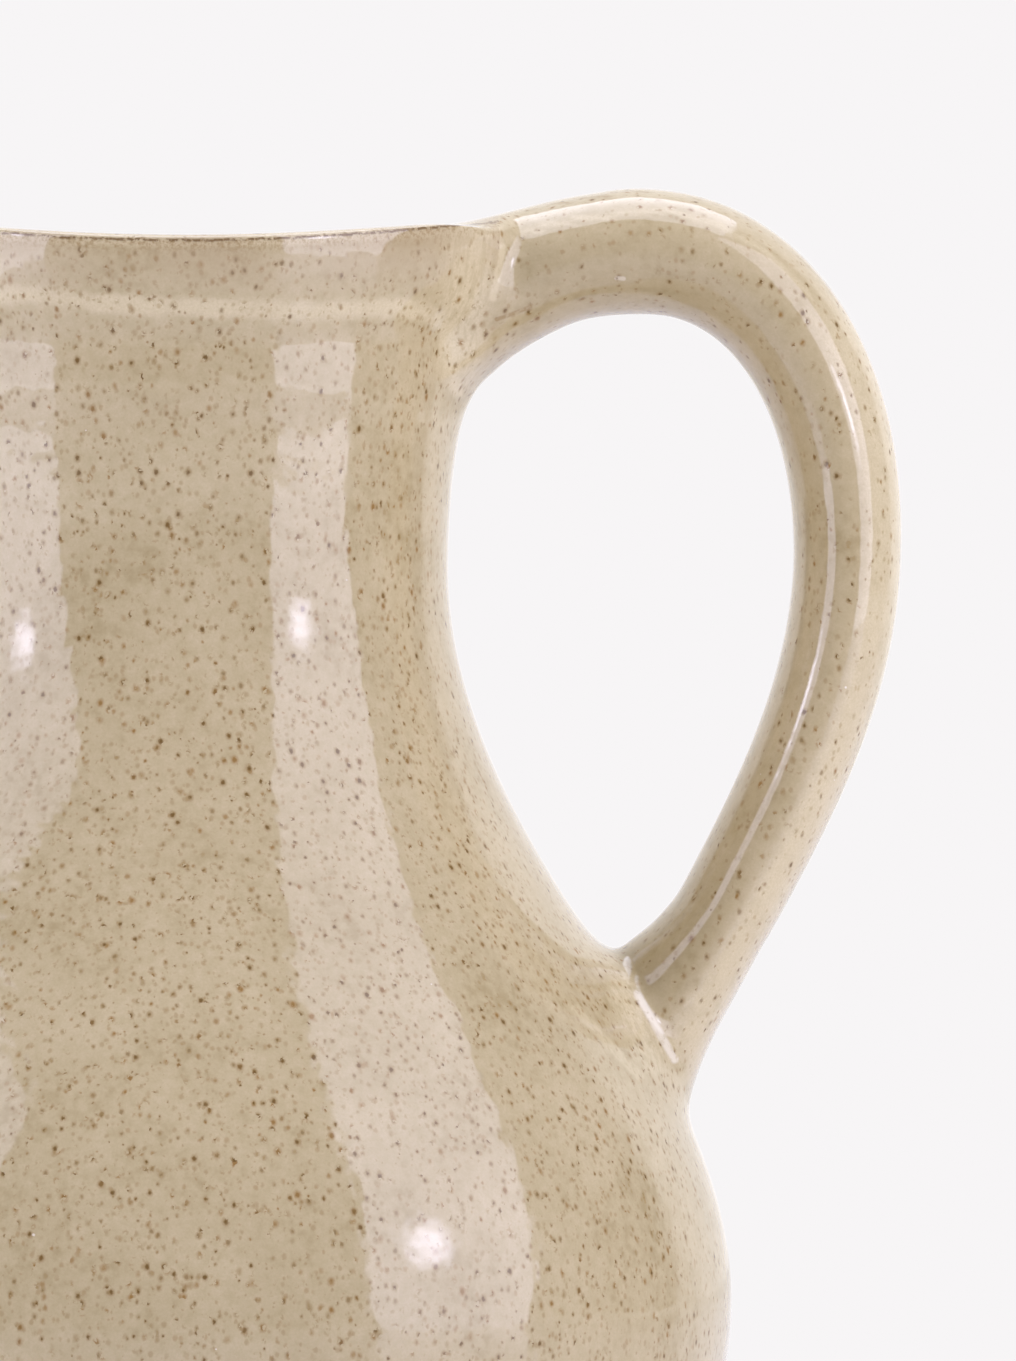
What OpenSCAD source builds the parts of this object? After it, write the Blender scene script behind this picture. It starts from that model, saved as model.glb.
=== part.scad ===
// Stoneware crock jug: a thrown clay wall with a turned foot, a rolled collar and a pulled pouring lip,
// a pulled strap handle luted on at the collar and at the belly, and the glaze that coats them.
// Millimetres. +Z is up and the origin is the middle of the foot. The handle is on +X, the lip on -X.

/* [Foot] */
// Radius of the foot that the jug stands on
foot_r = 47; // [44:0.5:50]
// Outward lean of the wall where it leaves the foot
foot_lean_share = 0.9; // [0.8:0.05:1]
// Radius of the hollow turned under the foot
foot_hollow_r = 40; // [35:0.5:42]
// Depth of the hollow turned under the foot
foot_hollow_h = 2.5; // [1:0.5:3.5]
// Bevel round the foot's lower edge
foot_bevel = 1.2; // [0.4:0.2:2]

/* [Belly and neck] */
// Widest radius of the belly
belly_r = 74.7; // [72:0.1:78]
// Height of the belly's widest place
belly_z = 56.2; // [52:0.2:60]
// Radius at the steepest place of the shoulder
shoulder_r = 49.9; // [47:0.1:53]
// Height of the shoulder's steepest place
shoulder_z = 114.1; // [110:0.2:118]
// Lean of the shoulder, radius for each millimetre of height
shoulder_lean_share = -0.6; // [-0.7:0.02:-0.5]
// Narrowest radius of the neck
neck_r = 36.4; // [34:0.1:38]
// Height of the neck's narrowest place
neck_z = 154.8; // [150:0.2:160]

/* [Collar and rim] */
// Radius just under the collar
undercut_r = 38.5; // [37.6:0.1:39.5]
// Height of the place just under the collar
undercut_z = 184.5; // [182:0.5:186]
// Radius of the collar's lower ridge
ridge_r = 40.5; // [39.8:0.1:41]
// Height of the collar's lower ridge
ridge_z = 190.2; // [188.5:0.1:192]
// Outer radius at the rim
rim_r = 41.3; // [41:0.1:42.5]
// Height of the rim at its lowest, on the two sides
rim_z = 197.7; // [195:0.1:200]
// Radius of the dip that is sprung into the rim, seen from the side
rim_dip_r = 230; // [200:5:300]
// Place of the dip's lowest point along X
rim_dip_x = 2; // [0:0.5:4]

/* [Pouring lip] */
// Radius of the lip's channel, outside
lip_r = 14; // [11:0.5:17]
// How far the lip reaches past the rim's circle
lip_reach = 9; // [6:0.5:11]
// Height at which the lip leaves the neck
lip_root_z = 170; // [164:1:174]

/* [Wall] */
// Thickness of the wall above the floor
wall_low_t = 6.6; // [5:0.1:8]
// Thickness of the wall at the rim
wall_rim_t = 4.2; // [3.4:0.1:5]
// Height of the floor inside
floor_z = 8.5; // [7:0.5:10]
// Radius of the curve from the floor into the wall
floor_curve_r = 14; // [8:1:18]

/* [Handle] */
// Furthest reach of the handle from the jug's middle
handle_reach = 97.6; // [90:0.2:104]
// Height of the handle's furthest place
handle_bow_z = 158.2; // [152:0.2:164]
// Rise of the handle's top above the rim's lowest place
handle_rise = 7.9; // [5:0.1:10]
// Distance of the handle's top from the rim's circle
crown_out = 21.6; // [18:0.2:26]
// Height at which the handle's middle line leaves the collar
root_z = 186; // [183:0.2:188]
// Depth inside the wall at which that line starts
root_depth = 2.2; // [1:0.2:4]
// Steepness of that line at the collar
root_angle = 49; // [40:1:55]
// Height at which the handle's middle line meets the belly
tail_z = 87.7; // [84:0.2:92]
// Depth inside the wall at which that line ends
tail_depth = 2.2; // [1:0.2:4]
// Lean of the handle's tail from upright
tail_angle = 24; // [20:1:28]
// Width of the strap across the hand
strap_w = 24.1; // [20:0.2:28]
// Thickness of the strap at the collar
root_t = 15.2; // [13:0.2:17]
// Thickness of the strap at its top
crown_t = 16.4; // [14:0.2:18]
// Thickness of the strap at its furthest place
bow_t = 13.6; // [11:0.2:15]
// Thickness of the strap at the belly
tail_t = 12.1; // [10:0.2:14]

/* [Luting and glaze] */
// Spread of the luting clay on the wall above and below the strap
luting_t = 1.6; // [1:0.1:2.5]
// Spread of the luting clay on the wall to each side of the strap
luting_w = 4; // [2:0.2:5]
// Thickness of the glaze
glaze_t = 0.5; // [0.3:0.05:0.8]
// Gap left between the wall's coat and the handle's coat
coat_gap = 0.5; // [0.4:0.1:1]
// Height above the table to which the foot stays bare
bare_foot_h = 5; // [3:0.5:8]

/* [Hidden] */
// Length by which a cutting shape or a handle's end runs on past what it has to reach
overrun = 10;
// Steps along each stretch of the wall's outline
wall_steps = 9;
// Rings along each of the strap's three stretches, and corners round each ring
strap_steps = [14, 16, 20];
strap_sides = 24;
// Rings at the collar and at the belly over which the luting clay runs out on the strap
root_luting_rings = 6;
tail_luting_rings = 4;
// Pull of the middle line at the ends of each stretch, as shares of the distance between them
root_pull_share = 1.05;
crown_pull_shares = [1.4, 1.05];
bow_pull_shares = [1.42, 1.07];
tail_pull_share = 1;
$fn = 96;

// Outline of the clay wall: height, radius and lean at each of its turning places
rim_top_z = rim_z + overrun;
wall_places = [
    [0, foot_r, foot_lean_share],
    [belly_z, belly_r, 0],
    [shoulder_z, shoulder_r, shoulder_lean_share],
    [neck_z, neck_r, 0],
    [undercut_z, undercut_r, (undercut_r - neck_r) / (undercut_z - neck_z)],
    [ridge_z, ridge_r, (rim_r - ridge_r) / (rim_z - ridge_z)],
    [rim_top_z, rim_r, 0]
];

// A cubic stretch from a to b, with end pulls pull_a and pull_b, at the share t of its length
function cubic(a, pull_a, b, pull_b, t) =
    (2 * t ^ 3 - 3 * t ^ 2 + 1) * a + (t ^ 3 - 2 * t ^ 2 + t) * pull_a
    + (3 * t ^ 2 - 2 * t ^ 3) * b + (t ^ 3 - t ^ 2) * pull_b;
function cubic_slope(a, pull_a, b, pull_b, t) =
    (6 * t ^ 2 - 6 * t) * (a - b) + (3 * t ^ 2 - 4 * t + 1) * pull_a + (3 * t ^ 2 - 2 * t) * pull_b;

// Radius of the clay wall's outside at height z
function stretch_of(z, i = 0) =
    i >= len(wall_places) - 2 || z <= wall_places[i + 1][0] ? i : stretch_of(z, i + 1);
function stretch_r(low, high, z) =
    cubic(low[1], low[2] * (high[0] - low[0]), high[1], high[2] * (high[0] - low[0]),
          (z - low[0]) / (high[0] - low[0]));
function wall_r(z) = stretch_r(wall_places[stretch_of(z)], wall_places[stretch_of(z) + 1], z);

// Radius of the clay wall's inside at height z: the wall thins towards the rim and curves into the floor
function wall_t(z) = wall_low_t + (wall_rim_t - wall_low_t) * (z - floor_z) / (rim_z - floor_z);
function floor_fillet(z) =
    z >= floor_z + floor_curve_r ? 0
    : floor_curve_r - sqrt(floor_curve_r ^ 2 - (floor_z + floor_curve_r - z) ^ 2);
function hollow_r(z) = wall_r(z) - wall_t(z) - floor_fillet(z);

// Heights at which the outline is drawn between z_low and the top of the wall
wall_levels = [
    for (i = [0:len(wall_places) - 2], k = [0:wall_steps - 1])
        wall_places[i][0] + (wall_places[i + 1][0] - wall_places[i][0]) * k / wall_steps
];
curve_levels = [
    for (k = [0:wall_steps - 1]) floor_z + floor_curve_r * (1 - cos(90 * k / wall_steps))
];
function levels_above(z_low) = [for (z = wall_levels) if (z > z_low) z];

// Middle line of the strap, in the plane of X and Z
root_place = [wall_r(root_z) - root_depth, root_z];
crown_place = [rim_r + crown_out, rim_z + handle_rise - crown_t / 2];
bow_place = [handle_reach - bow_t / 2, handle_bow_z];
tail_place = [wall_r(tail_z) - tail_depth, tail_z];
root_way = [cos(root_angle), sin(root_angle)];
tail_way = [-sin(tail_angle), -cos(tail_angle)];
function way_to(a, b, share) = share * norm(b - a);
strap_stretches = [
    [root_place, way_to(root_place, crown_place, root_pull_share) * root_way,
     crown_place, way_to(root_place, crown_place, crown_pull_shares[0]) * [1, 0]],
    [crown_place, way_to(crown_place, bow_place, crown_pull_shares[1]) * [1, 0],
     bow_place, way_to(crown_place, bow_place, bow_pull_shares[0]) * [0, -1]],
    [bow_place, way_to(bow_place, tail_place, bow_pull_shares[1]) * [0, -1],
     tail_place, way_to(bow_place, tail_place, tail_pull_share) * tail_way]
];
strap_thicknesses = [[0, root_t], [1, crown_t], [2, bow_t], [3, tail_t]];

// Places along the strap run from 0 at the collar to 3 at the belly, one for each stretch
function strap_stretch(u) = strap_stretches[min(floor(u), 2)];
function strap_share(u) = u - min(floor(u), 2);
function strap_place(u) =
    let (s = strap_stretch(u)) cubic(s[0], s[1], s[2], s[3], strap_share(u));
function strap_way(u) =
    let (s = strap_stretch(u), d = cubic_slope(s[0], s[1], s[2], s[3], strap_share(u))) d / norm(d);
ring_places = [for (s = [0:2], k = [0:strap_steps[s] - 1]) s + k / strap_steps[s], 3];
last_ring = len(ring_places) - 1;

// Ring i of the strap with the share luted of its luting clay, thickened by grow
// The rings before the first and after the last run on into the wall
function strap_ring(i, luted, grow) =
    let (u = ring_places[max(0, min(i, last_ring))], way = strap_way(u),
         p = strap_place(u) + (i < 0 ? -overrun : i > last_ring ? overrun : 0) * way,
         up = [-way[1], way[0]],
         half_t = lookup(u, strap_thicknesses) / 2 + luted * luting_t + grow,
         half_w = strap_w / 2 + luted * luting_w + grow)
    [for (k = [0:strap_sides - 1])
        let (a = 360 * k / strap_sides)
        [p[0] + up[0] * half_t * cos(a), half_w * sin(a), p[1] + up[1] * half_t * cos(a)]];

// Share of the luting clay's spread on ring i: whole in the wall, running out to nothing on the strap
function luting_share(i) =
    i <= root_luting_rings ? (1 - max(i, 0) / root_luting_rings) ^ 2
    : i >= last_ring - tail_luting_rings ? (1 - max(last_ring - i, 0) / tail_luting_rings) ^ 2
    : 0;

// Number of corner k of ring i among all corners
function corner(i, k) = i * strap_sides + k % strap_sides;

// A closed skin over rings
module skin(rings) {
    sides = [
        for (i = [0:len(rings) - 2], k = [0:strap_sides - 1])
            each [[corner(i, k), corner(i + 1, k), corner(i, k + 1)],
                  [corner(i, k + 1), corner(i + 1, k), corner(i + 1, k + 1)]]
    ];
    start = [for (k = [0:strap_sides - 1]) k];
    end = [for (k = [strap_sides - 1:-1:0]) corner(len(rings) - 1, k)];
    polyhedron(points = [for (ring = rings) each ring], faces = concat([start], sides, [end]));
}

// A sleeve between outer and inner rings, which meet in a thin edge at the ring numbered edge, if there is one
module sleeve(outer, inner, edge) {
    n = len(outer);
    function under(i, k) = i == edge ? corner(i, k) : corner(n + i, k);
    outer_sides = [
        for (i = [0:n - 2], k = [0:strap_sides - 1])
            each [[corner(i, k), corner(i + 1, k), corner(i, k + 1)],
                  [corner(i, k + 1), corner(i + 1, k), corner(i + 1, k + 1)]]
    ];
    inner_sides = [
        for (i = [0:n - 2], k = [0:strap_sides - 1])
            each [[under(i, k), under(i, k + 1), under(i + 1, k)],
                  [under(i, k + 1), under(i + 1, k + 1), under(i + 1, k)]]
    ];
    start = [
        for (k = [0:strap_sides - 1])
            each edge == 0 ? [] : [[corner(0, k), corner(0, k + 1), under(0, k + 1)],
                                   [corner(0, k), under(0, k + 1), under(0, k)]]
    ];
    end = [
        for (k = [0:strap_sides - 1])
            each edge == n - 1 ? [] : [[corner(n - 1, k + 1), corner(n - 1, k), under(n - 1, k)],
                                       [corner(n - 1, k + 1), under(n - 1, k), under(n - 1, k + 1)]]
    ];
    polyhedron(points = [for (ring = concat(outer, inner)) each ring],
               faces = concat(start, outer_sides, inner_sides, end));
}

// The strap with both ends run on into the wall
module strap() {
    skin([for (i = [-1:last_ring + 1]) strap_ring(i, 0, 0)]);
}

// Corner k of the luted strap's ring i, with its coat and the gap around it, and how far it is out of the wall
function coat_corner(i, k) = strap_ring(i, luting_share(i), glaze_t + coat_gap)[k];
function out_of_wall(p) = norm([p[0], p[1]]) - wall_r(p[2]) - glaze_t;

// Place where the line along corner k leaves the wall, searched from ring i on, step by step
function leaving_place(k, i, step) =
    let (near = coat_corner(i, k), far = coat_corner(i + step, k),
         depth = -out_of_wall(near), height = out_of_wall(far))
    height > 0 ? near + (far - near) * depth / (depth + height) : leaving_place(k, i + step, step);

// The opening in the wall's coat for one end of the handle, cut straight along X
module coat_opening(first, step) {
    rotate([90, 0, 90])
        linear_extrude(height = handle_reach)
            polygon([
                for (k = [0:strap_sides - 1])
                    let (p = leaving_place(k, first, step)) [p[1], p[2]]
            ]);
}

// Luting clay round the strap from ring first to ring last, with its thin edge at the ring numbered edge
module luting(first, last, edge) {
    sleeve([for (i = [first:last]) strap_ring(i, luting_share(i), 0)],
           [for (i = [first:last]) strap_ring(i, 0, 0)], edge);
}

// The lip's channel, a cylinder of radius r that leans out of the neck
lip_root = [-(wall_r(lip_root_z) - lip_r), lip_root_z];
lip_tip = [-(rim_r + lip_reach - lip_r), rim_z];
lip_lean = atan((lip_root[0] - lip_tip[0]) / (lip_tip[1] - lip_root[1]));
module lip_channel(r) {
    translate([lip_root[0], 0, lip_root[1]])
        rotate([0, -lip_lean, 0])
            translate([0, 0, -overrun])
                cylinder(r = r, h = norm(lip_tip - lip_root) + 3 * overrun);
}

// The outside of the wall as a solid form, thickened by grow, with the dipped rim on top
module outside(grow) {
    difference() {
        union() {
            rotate([0, 0, 90])
                rotate_extrude()
                    polygon(concat(
                        [[0, 0], [foot_r - foot_bevel + grow, 0]],
                        [for (z = levels_above(foot_bevel)) [wall_r(z) + grow, z]],
                        [[rim_r + grow, rim_top_z], [0, rim_top_z]]
                    ));
            lip_channel(lip_r + grow);
        }
        translate([rim_dip_x, 0, rim_z + rim_dip_r])
            rotate([90, 0, 0])
                cylinder(r = rim_dip_r - grow, h = 4 * belly_r, center = true, $fn = 360);
    }
}

// The hollow of the jug as a solid form that runs out over the rim, narrowed by shrink
module hollow(shrink) {
    rotate([0, 0, 90])
        rotate_extrude()
            polygon(concat(
                [[0, floor_z + shrink]],
                [for (z = curve_levels) [hollow_r(z) - shrink, z + shrink]],
                [for (z = levels_above(floor_z + floor_curve_r)) [hollow_r(z) - shrink, z]],
                [[rim_r - wall_rim_t - shrink, rim_top_z], [0, rim_top_z]]
            ));
    intersection() {
        lip_channel(lip_r - wall_rim_t - shrink);
        translate([0, 0, rim_top_z - rim_z + neck_z])
            cylinder(r = belly_r, h = rim_z - neck_z);
    }
}

// Everything lower than the glaze line
module bare_foot() {
    translate([0, 0, -overrun])
        cylinder(r = belly_r + overrun, h = bare_foot_h + overrun);
}

module thrown_body() {
    color("#bfa98a")
        difference() {
            outside(0);
            hollow(0);
            translate([0, 0, -foot_hollow_h])
                cylinder(r = foot_hollow_r, h = 2 * foot_hollow_h);
        }
}

module pulled_handle() {
    color("#c4ae90")
        difference() {
            strap();
            outside(0);
        }
}

module upper_luting_clay() {
    color("#b39c7c")
        difference() {
            luting(-1, root_luting_rings, root_luting_rings + 1);
            outside(0);
        }
}

module lower_luting_clay() {
    color("#b39c7c")
        difference() {
            luting(last_ring - tail_luting_rings, last_ring + 1, 0);
            outside(0);
        }
}

module outer_glaze() {
    color("#c9bda1")
        difference() {
            outside(glaze_t);
            outside(0);
            hollow(0);
            coat_opening(-1, 1);
            coat_opening(last_ring + 1, -1);
            bare_foot();
        }
}

module handle_glaze() {
    color("#cfc2a6")
        difference() {
            sleeve([for (i = [-1:last_ring + 1]) strap_ring(i, luting_share(i), glaze_t)],
                   [for (i = [-1:last_ring + 1]) strap_ring(i, luting_share(i), 0)], -1);
            outside(0);
        }
}

module liner_glaze() {
    color("#d2c6ac")
        difference() {
            intersection() {
                hollow(0);
                outside(glaze_t);
            }
            hollow(glaze_t);
        }
}

thrown_body();
pulled_handle();
upper_luting_clay();
lower_luting_clay();
outer_glaze();
handle_glaze();
liner_glaze();
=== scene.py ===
# %% [markdown]
# # A stoneware crock jug in speckled glaze
# A round-bellied jug is thrown on the wheel, its rim is sprung and pulled into a lip, and a strap pulled
# from a lump of clay is luted on as the handle. Glaze then runs over all of it as one skin. This lesson
# models that skin in the same order: the wall is raised ring by ring, as a potter raises it, the rim and
# the lip are pulled, two places are opened for the strap, and the strap is bridged on so that it grows out
# of the wall. The clay of the wall and of the strap is copied from the skin and made thinner by the coat
# that covers it.

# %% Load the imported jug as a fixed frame
import math

import bpy
import numpy as np
from mathutils import Matrix, Vector


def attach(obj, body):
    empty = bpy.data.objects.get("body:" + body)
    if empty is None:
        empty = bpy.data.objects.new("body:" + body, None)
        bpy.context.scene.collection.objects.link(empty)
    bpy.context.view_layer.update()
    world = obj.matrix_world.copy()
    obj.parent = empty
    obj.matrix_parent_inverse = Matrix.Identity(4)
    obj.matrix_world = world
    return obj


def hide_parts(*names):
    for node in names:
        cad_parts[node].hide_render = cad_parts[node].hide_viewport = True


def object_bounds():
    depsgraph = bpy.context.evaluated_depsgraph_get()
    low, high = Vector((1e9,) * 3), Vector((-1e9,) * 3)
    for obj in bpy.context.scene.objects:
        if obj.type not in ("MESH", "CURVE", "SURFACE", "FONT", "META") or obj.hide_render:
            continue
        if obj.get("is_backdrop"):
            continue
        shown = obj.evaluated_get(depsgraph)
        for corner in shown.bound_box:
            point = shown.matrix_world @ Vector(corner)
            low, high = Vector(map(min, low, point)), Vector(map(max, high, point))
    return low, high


MM = 0.001
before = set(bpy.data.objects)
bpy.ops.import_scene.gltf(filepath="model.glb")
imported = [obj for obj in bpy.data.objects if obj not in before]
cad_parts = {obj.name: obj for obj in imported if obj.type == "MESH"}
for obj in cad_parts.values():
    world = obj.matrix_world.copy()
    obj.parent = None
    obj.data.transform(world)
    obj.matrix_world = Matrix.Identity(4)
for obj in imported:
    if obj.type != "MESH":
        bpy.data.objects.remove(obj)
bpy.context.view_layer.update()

# %% [markdown]
# ## The outline of the wall
# A thrown wall is a curve turned round an axis. The curve here passes a few turning places, each with its
# height, its radius and its lean, and a cubic runs smoothly from each to the next. All radii are those of
# the glazed outside, which lies one coat of glaze outside the clay. Many traced points would give the same
# curve, but moving one of them would leave a bump.

# %% Turning places of the glazed outside, from the foot up
GLAZE = 0.5 * MM
BELLY_Z, NECK_Z, WALL_TOP_Z = 56.2 * MM, 154.8 * MM, 197 * MM
WALL_TURNS = [
    (0 * MM, 47.5 * MM, 0.9),
    (BELLY_Z, 75.17 * MM, 0.0),
    (114.1 * MM, 50.4 * MM, -0.6),
    (NECK_Z, 36.9 * MM, 0.0),
    (173.5 * MM, 38.06 * MM, 0.085),
    (178.3 * MM, 38.66 * MM, 0.088),
    (181.8 * MM, 38.82 * MM, 0.03),
    (184.6 * MM, 39.02 * MM, 0.09),
    (190.2 * MM, 40.7 * MM, 0.27),
    (195.0 * MM, 41.6 * MM, 0.095),
    (WALL_TOP_Z, 41.74 * MM, 0.04),
]


def cubic(a, pull_a, b, pull_b, t):
    """The place at the share t of a cubic stretch from a to b, which leaves and arrives along the pulls."""
    keep = (2 * t**3 - 3 * t**2 + 1) * a + (t**3 - 2 * t**2 + t) * pull_a
    return keep + (3 * t**2 - 2 * t**3) * b + (t**3 - t**2) * pull_b


def wall_r(z):
    """Radius of the glazed outside at height z."""
    i = 0
    while i < len(WALL_TURNS) - 2 and z > WALL_TURNS[i + 1][0]:
        i += 1
    (low_z, low_r, low_lean), (high_z, high_r, high_lean) = WALL_TURNS[i], WALL_TURNS[i + 1]
    rise = high_z - low_z
    return cubic(low_r, low_lean * rise, high_r, high_lean * rise, (z - low_z) / rise)


widest, narrowest = (round(wall_r(z) / MM, 2) for z in (BELLY_Z, NECK_Z))
print("Widest and narrowest glazed radius in mm:", widest, narrowest)

# %% [markdown]
# ## Heights of the rings
# The wall needs rings close together where the handle joins it and at the collar, and wide apart on the
# plain belly. Steps that grow evenly from one spacing to the other keep the surface free of waves.

# %% A row of heights whose steps grow evenly
def graded(start, end, first_step, count):
    """Heights after start, up to end, in count steps that grow evenly from first_step."""
    growth = (abs(end - start) - count * first_step) / (count * (count - 1) / 2)
    way = math.copysign(1, end - start)
    steps = [first_step + growth * i for i in range(count)]
    return [start + way * sum(steps[: i + 1]) for i in range(count)]


GLAZE_LINE_Z = 5 * MM
TAIL_LOW_Z, TAIL_HIGH_Z, TAIL_ROWS = 81 * MM, 104.6 * MM, 10
NECK_MID_Z = 138 * MM
COLLAR_Z = 170 * MM
CLOSE_STEP = 3 * MM
ROOT_LOW_Z = 179.5 * MM
COLLAR_ROWS = [173.4 * MM, 176.6 * MM, ROOT_LOW_Z, 182.6 * MM, 185.5 * MM, 188.1 * MM, 190.7 * MM,
               193.5 * MM]
BELLY_ROWS, SHOULDER_ROWS, NECK_ROWS = 12, 6, 6
below_tail = graded(TAIL_LOW_Z, GLAZE_LINE_Z, CLOSE_STEP, BELLY_ROWS)[::-1]
beside_tail = [TAIL_LOW_Z + (TAIL_HIGH_Z - TAIL_LOW_Z) * i / TAIL_ROWS for i in range(TAIL_ROWS + 1)]
above_tail = graded(TAIL_HIGH_Z, NECK_MID_Z, CLOSE_STEP, SHOULDER_ROWS)
below_collar = graded(COLLAR_Z, NECK_MID_Z, CLOSE_STEP, NECK_ROWS)[::-1][1:] + [COLLAR_Z]
outer_heights = below_tail + beside_tail + above_tail + below_collar + COLLAR_ROWS
print(len(outer_heights), "rings up the outside")

# %% [markdown]
# ## The rim and the hollow
# The rim is a fairly crisp roll: nearly square outside, rounder inside. Inside, the wall is thickest at
# the floor and thins towards the rim, and it curves into the floor as a potter's fingers leave it. A bevel
# would round both edges alike, so the rim is given place by place instead.

# %% Places round the rim and down the inside, as (radius, height)
RIM_Z = 198.2 * MM
RIM_PLACES = [
    (41.8 * MM, RIM_Z - 1.3 * MM),
    (41.35 * MM, RIM_Z - 0.35 * MM),
    (39.9 * MM, RIM_Z - 0.02 * MM),
    (38.2 * MM, RIM_Z - 0.2 * MM),
    (37.0 * MM, RIM_Z - 1.3 * MM),
    (36.55 * MM, RIM_Z - 3.4 * MM),
]
LOW_WALL_T, RIM_WALL_T = 6.6 * MM, 4.2 * MM
FLOOR_Z = 8.5 * MM
FLOOR_CURVE_R = 14 * MM
FLOOR_CURVE_ROWS = 4
FLOOR_SHARES = (0.8, 0.55, 0.3, 0.1)
LINER_TOP_Z = 191 * MM
INNER_HIGH_Z, INNER_LOW_Z, INNER_ROWS = 168 * MM, 26 * MM, 20


def hollow_r(z):
    """Radius of the liner glaze at height z, above the curve into the floor."""
    share = (z - FLOOR_Z) / (RIM_Z - FLOOR_Z)
    return wall_r(z) - 2 * GLAZE - LOW_WALL_T - (RIM_WALL_T - LOW_WALL_T) * share


curve_top_z = FLOOR_Z + GLAZE + FLOOR_CURVE_R
inner_heights = [LINER_TOP_Z, 186.5 * MM, 181 * MM, 175 * MM]
inner_heights += list(np.linspace(INNER_HIGH_Z, INNER_LOW_Z, INNER_ROWS)) + [curve_top_z]
inner_places = [(hollow_r(z), z) for z in inner_heights]
curve_centre_r = hollow_r(curve_top_z) - FLOOR_CURVE_R
for i in range(1, FLOOR_CURVE_ROWS + 1):
    turn = math.radians(90) * i / FLOOR_CURVE_ROWS
    inner_places.append((curve_centre_r + FLOOR_CURVE_R * math.cos(turn),
                         curve_top_z - FLOOR_CURVE_R * math.sin(turn)))
inner_places += [(curve_centre_r * share, FLOOR_Z + GLAZE) for share in FLOOR_SHARES]
print(len(inner_places), "rings down the inside")

# %% [markdown]
# ## A cage that keeps its size
# A Subdivision Surface rounds a cage off, so the smooth skin lies a little inside the cage's corners. Each
# corner is therefore pushed out beforehand, by a sixth of the bend at that place. The same share, worked
# out for a ring of so many corners, widens each ring.

# %% Push the places of a cage out by what the smoothing takes away
def pushed_out(places):
    """The places of a row of cage corners whose smooth curve passes the given places."""
    wanted = np.array(places, float)
    corners = wanted.copy()
    for _ in range(3):
        bend = corners[:-2] - 2 * corners[1:-1] + corners[2:]
        corners[1:-1] = wanted[1:-1] - bend / 6
    return corners


def ring_share(count):
    """How much wider a ring of count corners has to be than the circle that its smooth curve makes."""
    return 1 + (2 * math.pi / count) ** 2 / 6


COLUMNS = 48
wall_places = pushed_out([(wall_r(z), z) for z in outer_heights] + RIM_PLACES + inner_places)
print("Widest corner of the cage in mm:", round(wall_places[:, 0].max() * ring_share(COLUMNS) / MM, 2))

# %% [markdown]
# ## Raising the wall
# The wall starts as one circle on the glaze line. It is extruded upwards ring by ring and each new ring is
# scaled to its radius, then the same goes on over the rim and down the inside to the middle of the floor.
# A spin of the outline would give the same form. Extruding keeps each ring at hand for what comes later.

# %% Raise the wall ring by ring
def work_on(*pieces):
    """Select only these pieces, and make the last one active."""
    bpy.ops.object.select_all(action="DESELECT")
    for piece in pieces:
        piece.select_set(True)
    bpy.context.view_layer.objects.active = pieces[-1]


def start_ring(name, count, radius, place):
    """A new piece that is one open circle of count corners, left in edit mode."""
    bpy.ops.object.select_all(action="DESELECT")
    bpy.ops.mesh.primitive_circle_add(vertices=count, radius=radius, fill_type="NOTHING",
                                      rotation=(0, 0, math.radians(-90)))
    piece = bpy.context.active_object
    piece.name = name
    piece.data.name = name
    bpy.ops.object.transform_apply(rotation=True)
    bpy.ops.object.mode_set(mode="EDIT")
    bpy.ops.transform.translate(value=place)
    return piece


def next_ring(step, share, centre):
    """Extrude the selected ring by step, then scale it by share round the axis through centre."""
    bpy.ops.mesh.extrude_region_move(TRANSFORM_OT_translate={"value": step})
    bpy.ops.transform.resize(value=(share, share, 1), center_override=centre)


def face_outwards():
    """In edit mode, turn all faces of the piece outwards."""
    bpy.ops.mesh.select_all(action="SELECT")
    bpy.ops.mesh.normals_make_consistent(inside=False)


def across_and_turn(places):
    """Distance of each place from the axis, and its angle round it from the handle's side, in degrees."""
    return np.hypot(places[:, 0], places[:, 1]), np.degrees(np.arctan2(places[:, 1], places[:, 0]))


def choose(piece, kind, places_pass):
    """In edit mode, select the vertices, edges or faces whose places pass the test."""
    bpy.ops.mesh.select_mode(type=kind)
    bpy.ops.mesh.select_all(action="DESELECT")
    bpy.ops.object.mode_set(mode="OBJECT")
    mesh = piece.data
    corners = np.empty(len(mesh.vertices) * 3)
    mesh.vertices.foreach_get("co", corners)
    corners = corners.reshape(-1, 3)
    if kind == "VERT":
        parts, places = mesh.vertices, corners
    elif kind == "EDGE":
        ends = np.empty(len(mesh.edges) * 2, int)
        mesh.edges.foreach_get("vertices", ends)
        parts, places = mesh.edges, corners[ends.reshape(-1, 2)].mean(axis=1)
    else:
        places = np.empty(len(mesh.polygons) * 3)
        mesh.polygons.foreach_get("center", places)
        parts, places = mesh.polygons, places.reshape(-1, 3)
    chosen = places_pass(places)
    parts.foreach_set("select", chosen)
    bpy.ops.object.mode_set(mode="EDIT")
    return int(chosen.sum())


first_r, first_z = wall_places[0]
widen = ring_share(COLUMNS)
wall = start_ring("glaze_skin", COLUMNS, first_r * widen, (0, 0, first_z))
for (r, z), (next_r, next_z) in zip(wall_places[:-1], wall_places[1:]):
    next_ring((0, 0, next_z - z), next_r / r, (0, 0, next_z))
bpy.ops.mesh.merge(type="CENTER")
face_outwards()
print("Wall cage:", len(wall_places), "rings of", COLUMNS)

# %% [markdown]
# ## Which faces are lined
# The liner glaze is poured in and out before the outside is dipped, so it is a coat of its own. Its faces
# get the second material slot now, while every ring is still a plain circle and the inside is easy to
# find.

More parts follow.
